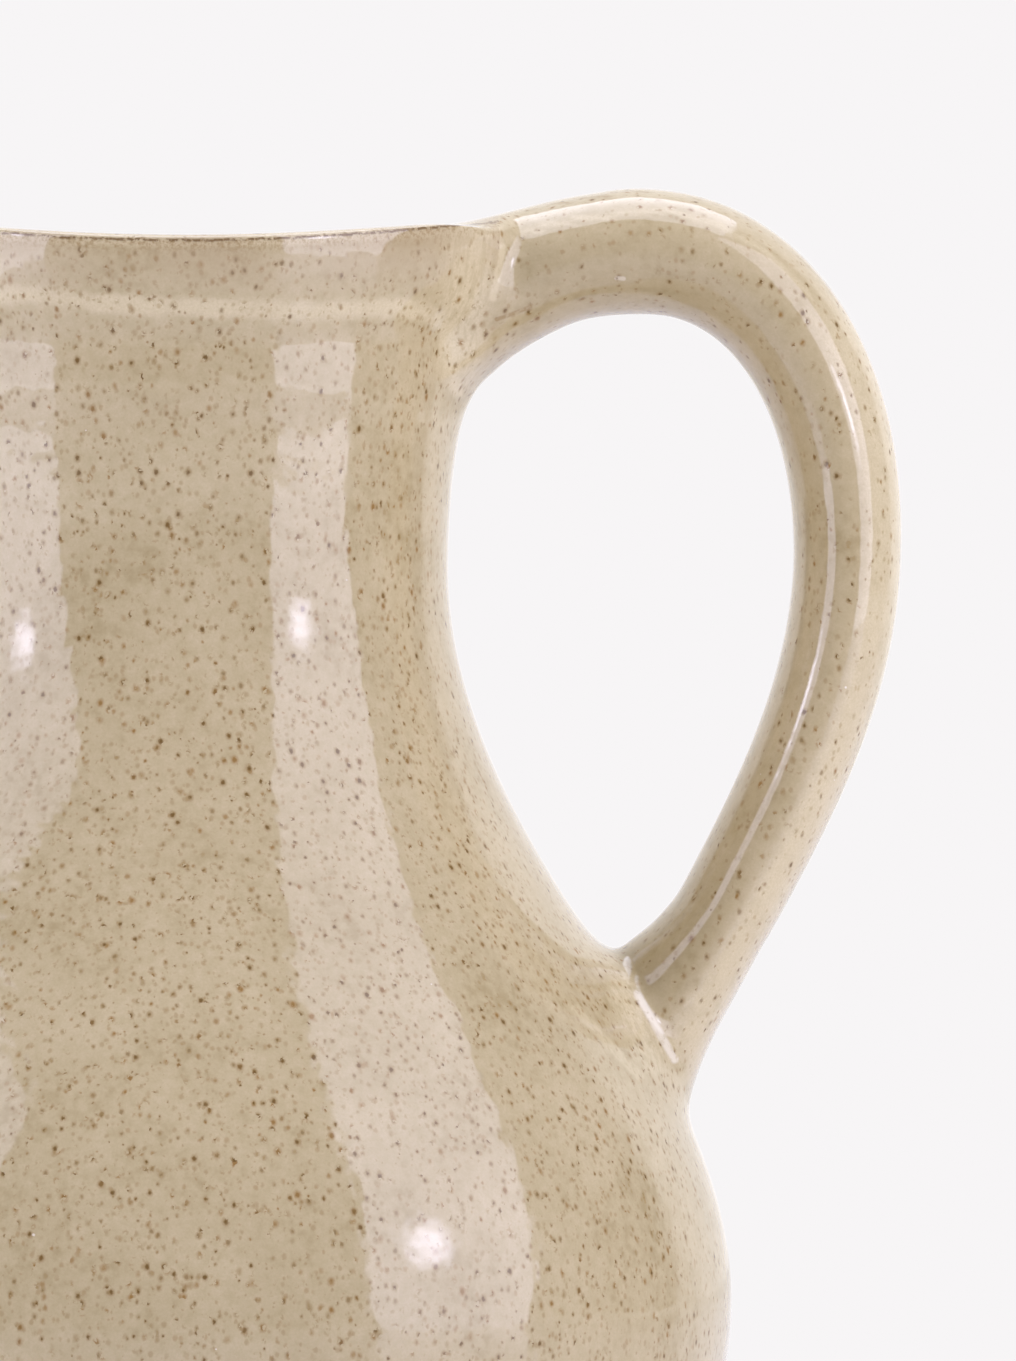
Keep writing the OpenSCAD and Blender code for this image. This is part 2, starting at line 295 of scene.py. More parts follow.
# %% Mark the faces of the liner glaze
glaze_stuff = bpy.data.materials.new("speckled_glaze")
liner_stuff = bpy.data.materials.new("liner_glaze")
for stuff in (glaze_stuff, liner_stuff):
    wall.data.materials.append(stuff)
HALF_WALL = 3 * MM


def on_liner(places):
    """A test for the faces inside the jug and below the rim."""
    across, _ = across_and_turn(places)
    inside = np.array([r < wall_r(max(z, 0)) - HALF_WALL for r, z in zip(across, places[:, 2])])
    return inside & (places[:, 2] < LINER_TOP_Z)


lined = choose(wall, "FACE", on_liner)
wall.active_material_index = 1
bpy.ops.object.material_slot_assign()
print(lined, "faces of the cage are liner glaze")

# %% [markdown]
# ## Springing the rim
# Seen from the side, the rim dips in a shallow bow between the lip and the handle. The rim's rings are
# lifted column by column to that bow, and the rings just under it follow by a part, so that the ridge
# stays level. A lattice could bend it too, but would also bend the wall below.

# %% Lift the rim to its bow
DIP_R = 230 * MM
DIP_X = 2 * MM
LEVEL_Z, SPRUNG_Z = 189.4 * MM, 195.5 * MM
SAME_HEIGHT, SAME_TURN = 0.001 * MM, 1e-4


def dip(x):
    """How far the rim is lifted at x over its lowest place."""
    return DIP_R - math.sqrt(DIP_R**2 - (x - DIP_X) ** 2)


def soft_step(low, high, values):
    """0 below low, 1 above high and smooth in between, for a number or an array."""
    t = np.clip((values - low) / (high - low), 0, 1)
    return t * t * (3 - 2 * t)


def in_column(column, height):
    """A test for the corners at a height in one column, on both sides of the handle."""
    turn = math.cos(2 * math.pi * column / COLUMNS)

    def test(places):
        across, _ = across_and_turn(places)
        level = abs(places[:, 2] - height) < SAME_HEIGHT
        return level & (abs(places[:, 0] / np.maximum(across, MM) - turn) < SAME_TURN)

    return test


bpy.ops.object.mode_set(mode="OBJECT")
bpy.ops.object.mode_set(mode="EDIT")
above = sorted({round(v.co.z, 6) for v in wall.data.vertices if v.co.z > LEVEL_Z})
for height in above:
    share = soft_step(LEVEL_Z, SPRUNG_Z, height)
    for column in range(COLUMNS // 2 + 1):
        if choose(wall, "VERT", in_column(column, height)):
            bpy.ops.object.mode_set(mode="OBJECT")
            x = next(v.co.x for v in wall.data.vertices if v.select)
            bpy.ops.object.mode_set(mode="EDIT")
            bpy.ops.transform.translate(value=(0, 0, dip(x) * share))
bpy.ops.object.mode_set(mode="OBJECT")
beside_z = max(v.co.z for v in wall.data.vertices if abs(v.co.x) < HALF_WALL)
handle_z = max(v.co.z for v in wall.data.vertices if v.co.x > 0)
print("Rim height in mm at the side and at the handle:", round(beside_z / MM, 2), round(handle_z / MM, 2))

# %% [markdown]
# ## Pulling the lip
# The lip lies opposite the handle. A potter holds the rim with two fingers and strokes it outwards with a
# third. Proportional editing does the same: a few corners are moved, and their neighbours follow less and
# less with distance. The two places where the fingers hold the rim are then pressed in a little. A
# sculpting brush would do as well, but its strokes are hard to write down and repeat.

# %% Pull the lip outwards and press its two sides in
LIP_REACH = 9.5 * MM
LIP_RISE = 1.2 * MM
LIP_SPREAD = 30 * MM
HOLD_IN = 1.6 * MM
HOLD_HALF_W = 27 * MM
HOLD_SPREAD = 13 * MM
STROKED_Z = 194.5 * MM
STROKE_AT, STROKE_HALF_TURN = 0, 8
HOLD_AT, HOLD_HALF_TURN = 41, 4


def near_rim_at(degrees_from_lip, half_width):
    """A test for the rim's corners at an angle from the lip, to both sides of it."""

    def test(places):
        turn = np.degrees(np.arctan2(places[:, 1], -places[:, 0]))
        return (abs(abs(turn) - degrees_from_lip) < half_width) & (places[:, 2] > STROKED_Z)

    return test


bpy.ops.object.mode_set(mode="EDIT")
choose(wall, "VERT", near_rim_at(STROKE_AT, STROKE_HALF_TURN))
bpy.ops.transform.translate(value=(-LIP_REACH, 0, LIP_RISE), use_proportional_edit=True,
                            proportional_edit_falloff="SMOOTH", proportional_size=LIP_SPREAD)
choose(wall, "VERT", near_rim_at(HOLD_AT, HOLD_HALF_TURN))
bpy.ops.transform.resize(value=(1, 1 - HOLD_IN / HOLD_HALF_W, 1), center_override=(0, 0, 0),
                         use_proportional_edit=True, proportional_edit_falloff="SMOOTH",
                         proportional_size=HOLD_SPREAD)
bpy.ops.object.mode_set(mode="OBJECT")
lip_x = min(v.co.x for v in wall.data.vertices if v.co.z > WALL_TOP_Z)
print("The lip reaches to x in mm:", round(lip_x / MM, 2))

# %% [markdown]
# ## The clay under the glaze
# The clay wall has the form of the glazed skin, one coat thinner. A copy of the cage is shrunk by that
# much along its normals, while it is still closed, and is carried on downwards to the turned foot. The
# foot is the only clay that stays bare, because a glazed foot would stick to the kiln shelf. It could be
# turned from an outline of its own, but a copy is sure to lie one coat under the skin all over.

# %% Copy the cage for the clay and turn the foot
COAT_T = 0.45 * MM
CLAY_DEPTH = 0.55 * MM
FOOT_PLACES = [
    (wall_r(3.4 * MM) - GLAZE, 3.4 * MM), (wall_r(1.9 * MM) - GLAZE, 1.9 * MM),
    (47.7 * MM, 0.9 * MM), (47.0 * MM, 0.2 * MM), (46.0 * MM, 0.02 * MM), (44.3 * MM, 0.02 * MM),
    (42.6 * MM, 0.02 * MM), (41.0 * MM, 0.02 * MM), (40.3 * MM, 0.25 * MM), (40.0 * MM, 0.9 * MM),
    (39.8 * MM, 1.7 * MM), (39.2 * MM, 2.3 * MM), (38.0 * MM, 2.5 * MM), (33.0 * MM, 2.5 * MM),
    (20.0 * MM, 2.5 * MM), (8.0 * MM, 2.5 * MM),
]
work_on(wall)
bpy.ops.object.duplicate()
clay = bpy.context.active_object
clay.name = clay.data.name = "thrown_clay"
bpy.ops.object.mode_set(mode="EDIT")
bpy.ops.mesh.select_all(action="SELECT")
bpy.ops.transform.shrink_fatten(value=-CLAY_DEPTH)
choose(clay, "VERT", lambda places: places[:, 2] < GLAZE_LINE_Z + COAT_T)
bpy.ops.object.mode_set(mode="OBJECT")
z = next(v.co.z for v in clay.data.vertices if v.select)
r = max(v.co.x for v in clay.data.vertices if v.select) / widen
bpy.ops.object.mode_set(mode="EDIT")
for next_r, next_z in pushed_out([(r, z)] + FOOT_PLACES)[1:]:
    next_ring((0, 0, next_z - z), next_r / r, (0, 0, next_z))
    r, z = next_r, next_z
bpy.ops.mesh.merge(type="CENTER")
face_outwards()
bpy.ops.object.mode_set(mode="OBJECT")
print("The clay's lowest and widest places in mm:", round(min(v.co.z for v in clay.data.vertices) / MM, 2),
      round(max(v.co.x for v in clay.data.vertices) / MM, 2))

# %% [markdown]
# ## Opening the wall for the strap
# The strap isn't stuck on: its clay is worked into the wall's clay, and the glaze covers both without a
# seam. The faces under its two ends are taken out, so that the strap can be bridged to the edges that are
# left. The upper opening reaches up to the crest of the rim, because the rim's edge runs out into the
# strap's shoulder. A boolean would join the two as well, but it leaves uneven faces at the seam, and a
# glossy glaze shows each of them.

# %% Take out the faces under the two ends of the strap
ROOT_HALF_COLUMNS, TAIL_HALF_COLUMNS = 3, 2
COLUMN_TURN = 360 / COLUMNS
PAST_ALL_Z = 2 * RIM_Z
OPENINGS = [(ROOT_HALF_COLUMNS, ROOT_LOW_Z, PAST_ALL_Z), (TAIL_HALF_COLUMNS, TAIL_LOW_Z, TAIL_HIGH_Z)]


def outside_at(half_columns, low_z, high_z):
    """A test for the outside's faces within half_columns of the handle's side, between two heights."""

    def test(places):
        across, turn = across_and_turn(places)
        skin = np.array([wall_r(min(max(z, 0), WALL_TOP_Z)) - HALF_WALL / 2 for z in places[:, 2]])
        beside = abs(turn) < half_columns * COLUMN_TURN
        return beside & (across > skin) & (places[:, 2] > low_z) & (places[:, 2] < high_z)

    return test


work_on(wall)
bpy.ops.object.mode_set(mode="EDIT")
for half_columns, low_z, high_z in OPENINGS:
    count = choose(wall, "FACE", outside_at(half_columns, low_z, high_z))
    bpy.ops.mesh.delete(type="FACE")
    print("Opened", count, "faces from z", round(low_z / MM, 1))

# %% [markdown]
# ## Working the wall's clay towards the strap
# Round the strap's two ends the wall swells towards the strap before it leaves. The rows there are moved
# out, most in the middle and less to each side, and more the nearer they lie to the strap, as a thumb
# leaves it. Each row has its height, how far it is moved, and how many degrees the swelling reaches round.

# %% Swell the rows of the wall that meet the strap
SWELLS = [
    (170.0 * MM, 0.2 * MM, 14),
    (173.4 * MM, 0.5 * MM, 16),
    (176.6 * MM, 1.1 * MM, 19),
    (ROOT_LOW_Z, 2.4 * MM, 23),
    (TAIL_HIGH_Z, 0.9 * MM, 24),
    (TAIL_HIGH_Z + CLOSE_STEP, 0.2 * MM, 20),
    (TAIL_LOW_Z, 0.2 * MM, 20),
]
NEAR_ROW, NEAR_TURN = 0.6 * MM, 1


def swell_row(height, amount, half_turn):
    """Move the corners of the outside at height outwards along X, less towards the sides."""
    for column in range(-ROOT_HALF_COLUMNS, ROOT_HALF_COLUMNS + 1):
        turn = column * COLUMN_TURN
        share = math.cos(math.radians(90 * min(abs(turn) / half_turn, 1))) ** 2

        def in_place(places):
            across, turns = across_and_turn(places)
            level = abs(places[:, 2] - height) < NEAR_ROW
            return (abs(turns - turn) < NEAR_TURN) & level & (across > wall_r(height) - HALF_WALL)

        if share > 0 and choose(wall, "VERT", in_place):
            bpy.ops.transform.translate(value=(amount * share, 0, 0))


for height, amount, half_turn in SWELLS:
    swell_row(height, amount, half_turn)
print("Swelled", len(SWELLS), "rows")

# %% [markdown]
# ## Flaring the sides
# Seen from above, rim and collar don't keep to their circle up to the strap. The clay leaves the circle on
# a straight tangent and meets the strap's side in a crease. So the columns beside the two openings are
# widened: most at the rim, right beside the strap, and less and less over the next four columns, and only
# a little at the belly. At the rim the edge is widened more than the crest. The edge sinks a little there
# as well. Each line of the table has a column, two heights, two radii and the share it is widened by.

# %% Widen the columns beside the openings
COLLAR_FOOT, COLLAR = (187.0 * MM, 189.6 * MM), (189.6 * MM, 193.2 * MM)
RIM = (193.2 * MM, 210.0 * MM)
PAST_ALL_R = 100 * MM
SKIN = (38 * MM, PAST_ALL_R)
EDGE, CREST = (40.6 * MM, PAST_ALL_R), (39.2 * MM, 40.6 * MM)
EDGE_AND_CREST = (39.2 * MM, PAST_ALL_R)
FLARES = [
    (3, COLLAR_FOOT, SKIN, 1.030),
    (3, COLLAR, SKIN, 1.062),
    (3, RIM, EDGE, 1.078),
    (3, RIM, CREST, 1.050),
    (4, COLLAR, SKIN, 1.028),
    (4, RIM, EDGE, 1.046),
    (4, RIM, CREST, 1.030),
    (5, COLLAR, SKIN, 1.012),
    (5, RIM, EDGE_AND_CREST, 1.026),
    (6, RIM, EDGE_AND_CREST, 1.013),
    (7, RIM, EDGE_AND_CREST, 1.004),
    (2, (82.0 * MM, 86.8 * MM), (60 * MM, PAST_ALL_R), 1.008),
    (2, (86.8 * MM, 99.0 * MM), (55 * MM, PAST_ALL_R), 1.020),
    (2, (99.0 * MM, 103.5 * MM), (50 * MM, PAST_ALL_R), 1.012),
]
EDGE_SINK = 0.7 * MM
SINK_FROM_Z = 198 * MM


def beside_handle(column, heights, radii):
    """A test for the corners of a column on both sides of the handle, between two heights and two radii."""

    def test(places):
        across, turns = across_and_turn(places)
        beside = abs(abs(turns) - column * COLUMN_TURN) < NEAR_TURN
        level = (places[:, 2] > heights[0]) & (places[:, 2] < heights[1])
        return beside & level & (across > radii[0]) & (across < radii[1])

    return test


for column, heights, radii, share in FLARES:
    count = choose(wall, "VERT", beside_handle(column, heights, radii))
    bpy.ops.transform.resize(value=(share, share, 1), center_override=(0, 0, 0))
    print("Column", column, "from z", round(heights[0] / MM, 1), "widened at", count, "corners")
choose(wall, "VERT", beside_handle(ROOT_HALF_COLUMNS, (SINK_FROM_Z, RIM[1]), EDGE_AND_CREST))
bpy.ops.transform.translate(value=(0, 0, -EDGE_SINK))
bpy.ops.object.mode_set(mode="OBJECT")

# %% [markdown]
# ## The strap's outline
# Seen from the side, the strap is a band between an outer and an inner line. It rises out of the rim, runs
# over the crown, round the bow and straight down into the belly. Between crown and tail the two lines
# follow one middle line and the strap's thickness there. Near the wall they part, because the strap's
# outer side reaches the belly much lower than its inner side, so the rings fan out there. Each of those
# rings is given by its outer place, its inner place and its half width, in millimetres. A bevelled curve
# would make the plain band, but not its fanned ends.

# %% Middle line, thickness and the rings of the strap
ROOT_OPEN_ROWS = 8
STRAP_CORNERS = 2 * (2 * ROOT_HALF_COLUMNS + ROOT_OPEN_ROWS)
STRAP_HALF_W = 12.55 * MM
CROWN, BOW, TAIL = np.array([(62.9, 197.6), (90.79, 158.2), (63.6, 87.7)]) * MM
CROWN_T, BOW_T, TAIL_T = 17.0 * MM, 14.6 * MM, 13.1 * MM
TAIL_LEAN = math.radians(24)
LEVEL, DOWN = np.array((1.0, 0.0)), np.array((0.0, -1.0))
TAIL_WAY = np.array((-math.sin(TAIL_LEAN), -math.cos(TAIL_LEAN)))
STRETCHES = [(CROWN, 1.05 * LEVEL, BOW, 1.42 * DOWN, CROWN_T, BOW_T),
             (BOW, 1.07 * DOWN, TAIL, 1.0 * TAIL_WAY, BOW_T, TAIL_T)]
A_STEP_ON = 0.001


def strap_sides(stretch, t):
    """The outer and the inner place of the strap at the share t of one of its stretches."""
    a, pull_a, b, pull_b, t_a, t_b = STRETCHES[stretch]
    length = math.dist(a, b)
    here = cubic(a, pull_a * length, b, pull_b * length, t)
    ahead = cubic(a, pull_a * length, b, pull_b * length, t + A_STEP_ON)
    way = (ahead - here) / math.dist(ahead, here)
    outward = np.array((-way[1], way[0]))
    half_t = (t_a + (t_b - t_a) * t) / 2
    return here + outward * half_t, here - outward * half_t


ROOT_RINGS = [
    (45.3, 203.0, 44.9, 182.9, 13.2),
    (47.0, 203.45, 46.7, 184.15, 12.7),
    (49.6, 204.1, 49.4, 185.8, 12.55),
    (53.0, 204.85, 53.0, 187.55, 12.55),
    (57.2, 205.55, 57.2, 188.75, 12.55),
]
TAIL_RINGS = [
    (79.05, 103.3, 67.1, 110.0, 12.55),
    (76.05, 97.8, 64.7, 107.3, 12.55),
    (73.3, 92.75, 62.6, 105.55, 12.55),
    (71.2, 88.2, 60.9, 104.2, 12.65),
    (69.8, 84.4, 59.4, 103.3, 13.0),
]
CROWN_RINGS, BOW_RINGS, BOW_END_SHARE = 8, 8, 0.68


def fanned_ring(outer_x, outer_z, inner_x, inner_z, half_w):
    """A ring near the wall, from millimetres: its outer place, its inner place and its half width."""
    return np.array((outer_x, outer_z)) * MM, np.array((inner_x, inner_z)) * MM, half_w * MM


rings = [fanned_ring(*row) for row in ROOT_RINGS]
rings += [(*strap_sides(0, i / CROWN_RINGS), STRAP_HALF_W) for i in range(CROWN_RINGS)]
rings += [(*strap_sides(1, t), STRAP_HALF_W) for t in np.linspace(0, BOW_END_SHARE, BOW_RINGS)]
rings += [fanned_ring(*row) for row in TAIL_RINGS]
outer_line = pushed_out([ring[0] for ring in rings])
inner_line = pushed_out([ring[1] for ring in rings])
half_widths = [ring[2] for ring in rings]
last_plain = rings[-len(TAIL_RINGS) - 1]
print(len(rings), "rings along the strap; its last plain ring in mm:",
      [round(c / MM, 1) for c in (*last_plain[0], *last_plain[1])])

# %% [markdown]
# ## Drawing the strap
# The strap starts as one upright oval. For each further ring the last one is extruded, moved to its place,
# turned, and scaled along its own thickness and width. With no window open, the turn needs its centre
# given, and goes the other way round. The first ring meets an opening with squarer corners, so at the end
# its own corners are drawn out from the oval towards a rectangle.

# %% Extrude the strap ring by ring
SHOULDER_POWER = 0.64
NEAR_CORNER = 0.1 * MM


def ring_frame(i):
    """Centre, turn round Y, half thickness and half width of the strap's ring number i."""
    centre = (outer_line[i] + inner_line[i]) / 2
    way_out = outer_line[i] - inner_line[i]
    turn = math.atan2(-way_out[1], way_out[0])
    return Vector((centre[0], 0, centre[1])), turn, math.hypot(*way_out) / 2, half_widths[i]


def near_corner(corner):
    """A test for the strap's corners at this place, and at the same place on its other side."""

    def test(places):
        beside = abs(abs(places[:, 1]) - corner.y) < NEAR_CORNER
        level = abs(places[:, 2] - corner.z) < NEAR_CORNER
        return beside & level & (abs(places[:, 0] - corner.x) < NEAR_CORNER)

    return test


strap = start_ring("strap", STRAP_CORNERS, ring_share(STRAP_CORNERS), (0, 0, 0))
centre, turn, half_t, half_w = ring_frame(0)
bpy.ops.transform.resize(value=(half_t, half_w, 1), center_override=(0, 0, 0))
bpy.ops.transform.rotate(value=-turn, orient_axis="Y", center_override=(0, 0, 0))
bpy.ops.transform.translate(value=centre)
for i in range(1, len(rings)):
    old_centre, old_turn, old_t, old_w = centre, turn, half_t, half_w
    centre, turn, half_t, half_w = ring_frame(i)
    bpy.ops.mesh.extrude_region_move(TRANSFORM_OT_translate={"value": centre - old_centre})
    bpy.ops.transform.rotate(value=old_turn - turn, orient_axis="Y", center_override=centre)
    bpy.ops.transform.resize(value=(half_t / old_t, half_w / old_w, 1), center_override=centre,
                             orient_type="GLOBAL", orient_matrix_type="GLOBAL",
                             orient_matrix=Matrix.Rotation(turn, 3, "Y"))
bpy.ops.object.mode_set(mode="OBJECT")
first_corners = [v.co.copy() for v in strap.data.vertices][:STRAP_CORNERS]
middle, _, tall, wide = ring_frame(0)
bpy.ops.object.mode_set(mode="EDIT")
for corner in first_corners:
    up, side = (corner.z - middle.z) / tall, corner.y / wide
    if up > 0 and side > 0:
        choose(strap, "VERT", near_corner(corner))
        bpy.ops.transform.resize(value=(1, side**SHOULDER_POWER / side, up**SHOULDER_POWER / up),
                                 center_override=middle)
bpy.ops.object.mode_set(mode="OBJECT")
print("Strap reaches to x and z in mm:", round(max(v.co.x for v in strap.data.vertices) / MM, 2),
      round(max(v.co.z for v in strap.data.vertices) / MM, 2))

# %% [markdown]
# ## Bridging the strap to the wall
# Wall and strap become one mesh. Each opening of the wall has as many corners as the strap's ring that
# faces it, so Bridge Edge Loops joins them with plain four-sided faces. One more cut in the upper bridge
# lets the strap's shoulder turn softly into the rim.

# %% Join the strap to the wall and bridge both ends
work_on(strap, wall)
bpy.ops.object.join()


def select_open_edges():
    """In edit mode, select all open edges of the piece."""
    bpy.ops.mesh.select_mode(type="EDGE")
    bpy.ops.mesh.select_all(action="DESELECT")
    bpy.ops.mesh.select_non_manifold(extend=False, use_wire=False, use_boundary=True, use_multi_face=False,
                                     use_non_contiguous=False, use_verts=False)


def open_edges_between(low_z, high_z):
    """Select the open edges of the wall and strap between two heights."""
    select_open_edges()
    bpy.ops.object.mode_set(mode="OBJECT")
    vertices = wall.data.vertices
    for edge in wall.data.edges:
        z = sum(vertices[v].co.z for v in edge.vertices) / 2
        edge.select = edge.select and low_z < z < high_z
    kept = sum(edge.select for edge in wall.data.edges)
    bpy.ops.object.mode_set(mode="EDIT")
    return kept


def longest_selected_edge():
    """Length of the longest selected edge of the wall, in edit mode."""
    bpy.ops.object.mode_set(mode="OBJECT")
    vertices = wall.data.vertices
    picked = [edge for edge in wall.data.edges if edge.select]
    longest = max(math.dist(*(vertices[v].co for v in edge.vertices)) for edge in picked)
    bpy.ops.object.mode_set(mode="EDIT")
    return longest


BRIDGES = [(170 * MM, 210 * MM, 1), (70 * MM, 115 * MM, 0)]
bpy.ops.object.mode_set(mode="EDIT")
for low_z, high_z, cuts in BRIDGES:
    edges = open_edges_between(low_z, high_z)
    bpy.ops.mesh.bridge_edge_loops(number_cuts=cuts, interpolation="LINEAR", smoothness=0)
    longest = longest_selected_edge() / MM
    print("Bridged", edges, "open edges; the longest new edge in mm:", round(longest, 2))
face_outwards()
bpy.ops.object.mode_set(mode="OBJECT")

# %% [markdown]
# ## The strap's clay
# Under the glaze the strap is clay too, with the luting clay at both ends. It takes the same form as the
# skin over it. So the faces of the strap and of its two flares are copied, closed at both ends and shrunk
# by the depth of the coat.

# %% Copy the strap's faces for its clay
STRAP_FROM_X = 30 * MM
OFF_WALL = 0.6 * MM


def off_the_wall(places):
    """A test for the faces whose middle stands off the plain wall on the handle's side."""
    across, _ = across_and_turn(places)
    skin = np.array([wall_r(min(max(z, 0), WALL_TOP_Z)) for z in places[:, 2]])
    narrow = abs(places[:, 1]) < places[:, 0] * math.tan(math.radians(ROOT_HALF_COLUMNS * COLUMN_TURN))
    return (places[:, 0] > STRAP_FROM_X) & narrow & (across > skin + OFF_WALL)


bpy.ops.object.mode_set(mode="EDIT")
bpy.ops.mesh.select_all(action="DESELECT")
bpy.ops.object.mode_set(mode="OBJECT")
work_on(wall)
bpy.ops.object.duplicate()
strap_clay = bpy.context.active_object
strap_clay.name = strap_clay.data.name = "strap_clay"
bpy.ops.object.mode_set(mode="EDIT")
kept = choose(strap_clay, "FACE", off_the_wall)
bpy.ops.mesh.select_all(action="INVERT")
bpy.ops.mesh.delete(type="FACE")
select_open_edges()
bpy.ops.mesh.fill_holes(sides=0)
face_outwards()
bpy.ops.transform.shrink_fatten(value=-CLAY_DEPTH)
bpy.ops.object.mode_set(mode="OBJECT")
print("The strap's clay starts from", kept, "faces of the skin")

# %% [markdown]
# ## Smoothing the cage
# Two levels of Subdivision Surface turn the cage into the smooth skin. Where four-sided faces meet in the
# usual way the result has no kinks at all, which a glossy glaze needs, since its reflections show every
# one.

# %% Apply the subdivision and shade it smooth
SMOOTH_LEVELS = 2


def finish_modifier(piece, kind, **settings):
    """Add a modifier with its settings and apply it."""
    work_on(piece)
    modifier = piece.modifiers.new(kind.lower(), kind)
    for name, value in settings.items():
        setattr(modifier, name, value)
    bpy.ops.object.modifier_apply(modifier=modifier.name)


for piece in (wall, clay, strap_clay):
    finish_modifier(piece, "SUBSURF", levels=SMOOTH_LEVELS, render_levels=SMOOTH_LEVELS)
    print(piece.name, "has", len(piece.data.polygons), "faces")

# %% [markdown]
# ## Two coats of glaze
# The skin is parted along the line where the liner ends. Each coat then gets its real thickness by
# Solidify, inwards, so that its outer face stays where it was modelled. A second, shrunk skin would do
# too, but its edges would have to be closed by hand.

# %% Part the liner from the skin and give both coats their thickness
work_on(wall)
bpy.ops.object.mode_set(mode="EDIT")
bpy.ops.mesh.select_mode(type="FACE")
bpy.ops.mesh.select_all(action="DESELECT")
wall.active_material_index = 1
bpy.ops.object.material_slot_select()
bpy.ops.mesh.separate(type="SELECTED")
bpy.ops.object.mode_set(mode="OBJECT")
liner = next(o for o in bpy.context.selected_objects if o is not wall)
liner.name = liner.data.name = "liner_coat"
wall.name = wall.data.name = "glaze_coat"
CRISP_ANGLE = math.radians(50)
for piece, stuff in ((wall, glaze_stuff), (liner, liner_stuff), (clay, None), (strap_clay, None)):
    if stuff:
        finish_modifier(piece, "SOLIDIFY", thickness=COAT_T, offset=-1, use_even_offset=True)
    piece.data.materials.clear()
    piece.data.materials.append(stuff)
    work_on(piece)
    bpy.ops.object.shade_smooth_by_angle(angle=CRISP_ANGLE)
    triangles = sum(len(face.vertices) - 2 for face in piece.data.polygons)
    print(piece.name, "has", triangles, "triangles")

# %% [markdown]
# ## Places and stand-ins
# The jug is one rigid body. The glaze coat stands for the CAD's coats of the wall and of the handle, the
# liner and the wall's clay for theirs, and the strap's clay for the strap and the luting clay at its ends.

# %% Say what rides and what stands for what
for piece in (wall, liner, clay, strap_clay):
    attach(piece, "root")
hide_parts("outer_glaze", "handle_glaze")
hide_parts("liner_glaze")
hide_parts("thrown_body")
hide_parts("pulled_handle", "upper_luting_clay", "lower_luting_clay")

# %% [markdown]
# ## Where the glaze breaks
# A runny glaze thins on every edge and ridge and turns cream there, and it pools in hollows and creases,
# where it is greener. Both follow how the surface bends. So the bend is measured on the mesh, from how the
# normals turn along each edge, and is kept as an attribute that the shader reads. The shader's own
# Pointiness shows bends too, but it changes with the fineness of the mesh and can't be softened.

# %% Measure the bend at every vertex of the two coats
BEND_SOFTENING = 6
NO_LENGTH = 1e-12


def keep_attribute(piece, name, values):
    """Store one number for each vertex of the piece."""
    layer = piece.data.attributes.new(name, "FLOAT", "POINT")
    layer.data.foreach_set("value", np.asarray(values, np.float32))


def vertex_arrays(piece):
    """Places and normals of the vertices and the vertex pairs of the edges."""
    mesh = piece.data
    places = np.empty(len(mesh.vertices) * 3, np.float32)
    mesh.vertices.foreach_get("co", places)
    normals = np.empty(len(mesh.vertices) * 3, np.float32)
    mesh.vertices.foreach_get("normal", normals)
    ends = np.empty(len(mesh.edges) * 2, np.int32)
    mesh.edges.foreach_get("vertices", ends)
    return places.reshape(-1, 3), normals.reshape(-1, 3), ends.reshape(-1, 2)


def measure_bend(piece):
    """Mean bend in 1/mm at each vertex, above zero where it is convex, softened over its neighbours."""
    places, normals, ends = vertex_arrays(piece)
    a, b = ends[:, 0], ends[:, 1]
    both_ends = np.concatenate((a, b))
    along = places[b] - places[a]
    length_2 = np.maximum((along**2).sum(axis=1), NO_LENGTH)
    turn = ((normals[b] - normals[a]) * along).sum(axis=1) / length_2 * MM
    count = np.maximum(np.bincount(both_ends, minlength=len(places)), 1)
    bend = np.bincount(both_ends, np.concatenate((turn, turn)), len(places)) / count
    for _ in range(BEND_SOFTENING):
        spread = np.bincount(both_ends, np.concatenate((bend[b], bend[a])), len(places))
        bend = 0.5 * bend + 0.5 * spread / count
    return bend


for piece in (wall, liner):
    bend = measure_bend(piece)
    keep_attribute(piece, "bend", bend)
    print(piece.name, "bend from", round(float(bend.min()), 2), "to", round(float(bend.max()), 2), "per mm")

# %% [markdown]
# ## The ridge and the worked places
# The ridge of the collar and the creases beside the strap show as cream lines, because clay was worked up
# there and the glaze ran off it. They are placed by where they run when the jug is seen from the side.
# So each is a line of a few places in that view, in millimetres, and each vertex keeps how near it lies to
# the line. They could be painted on by hand, but places are easier to move and to read.

# %% Mark the collar's ridge and the places worked by finger
def distance_to_line(points, line):
    """Distance of each point to the nearest stretch of a line of places, all in the plane of X and Z."""
    nearest = np.full(len(points), np.inf)
    for start, end in zip(np.array(line[:-1], float), np.array(line[1:], float)):
        way = end - start
        share = np.clip(((points - start) @ way) / (way @ way), 0, 1)
        nearest = np.minimum(nearest, np.hypot(*(points - start - share[:, None] * way).T))
    return nearest


def nearness(line, reach, full_share):
    """1 within full_share of the reach from a line, 0 past its reach, for each vertex of the skin."""
    return 1 - soft_step(full_share * reach, reach, distance_to_line(side_view, line))


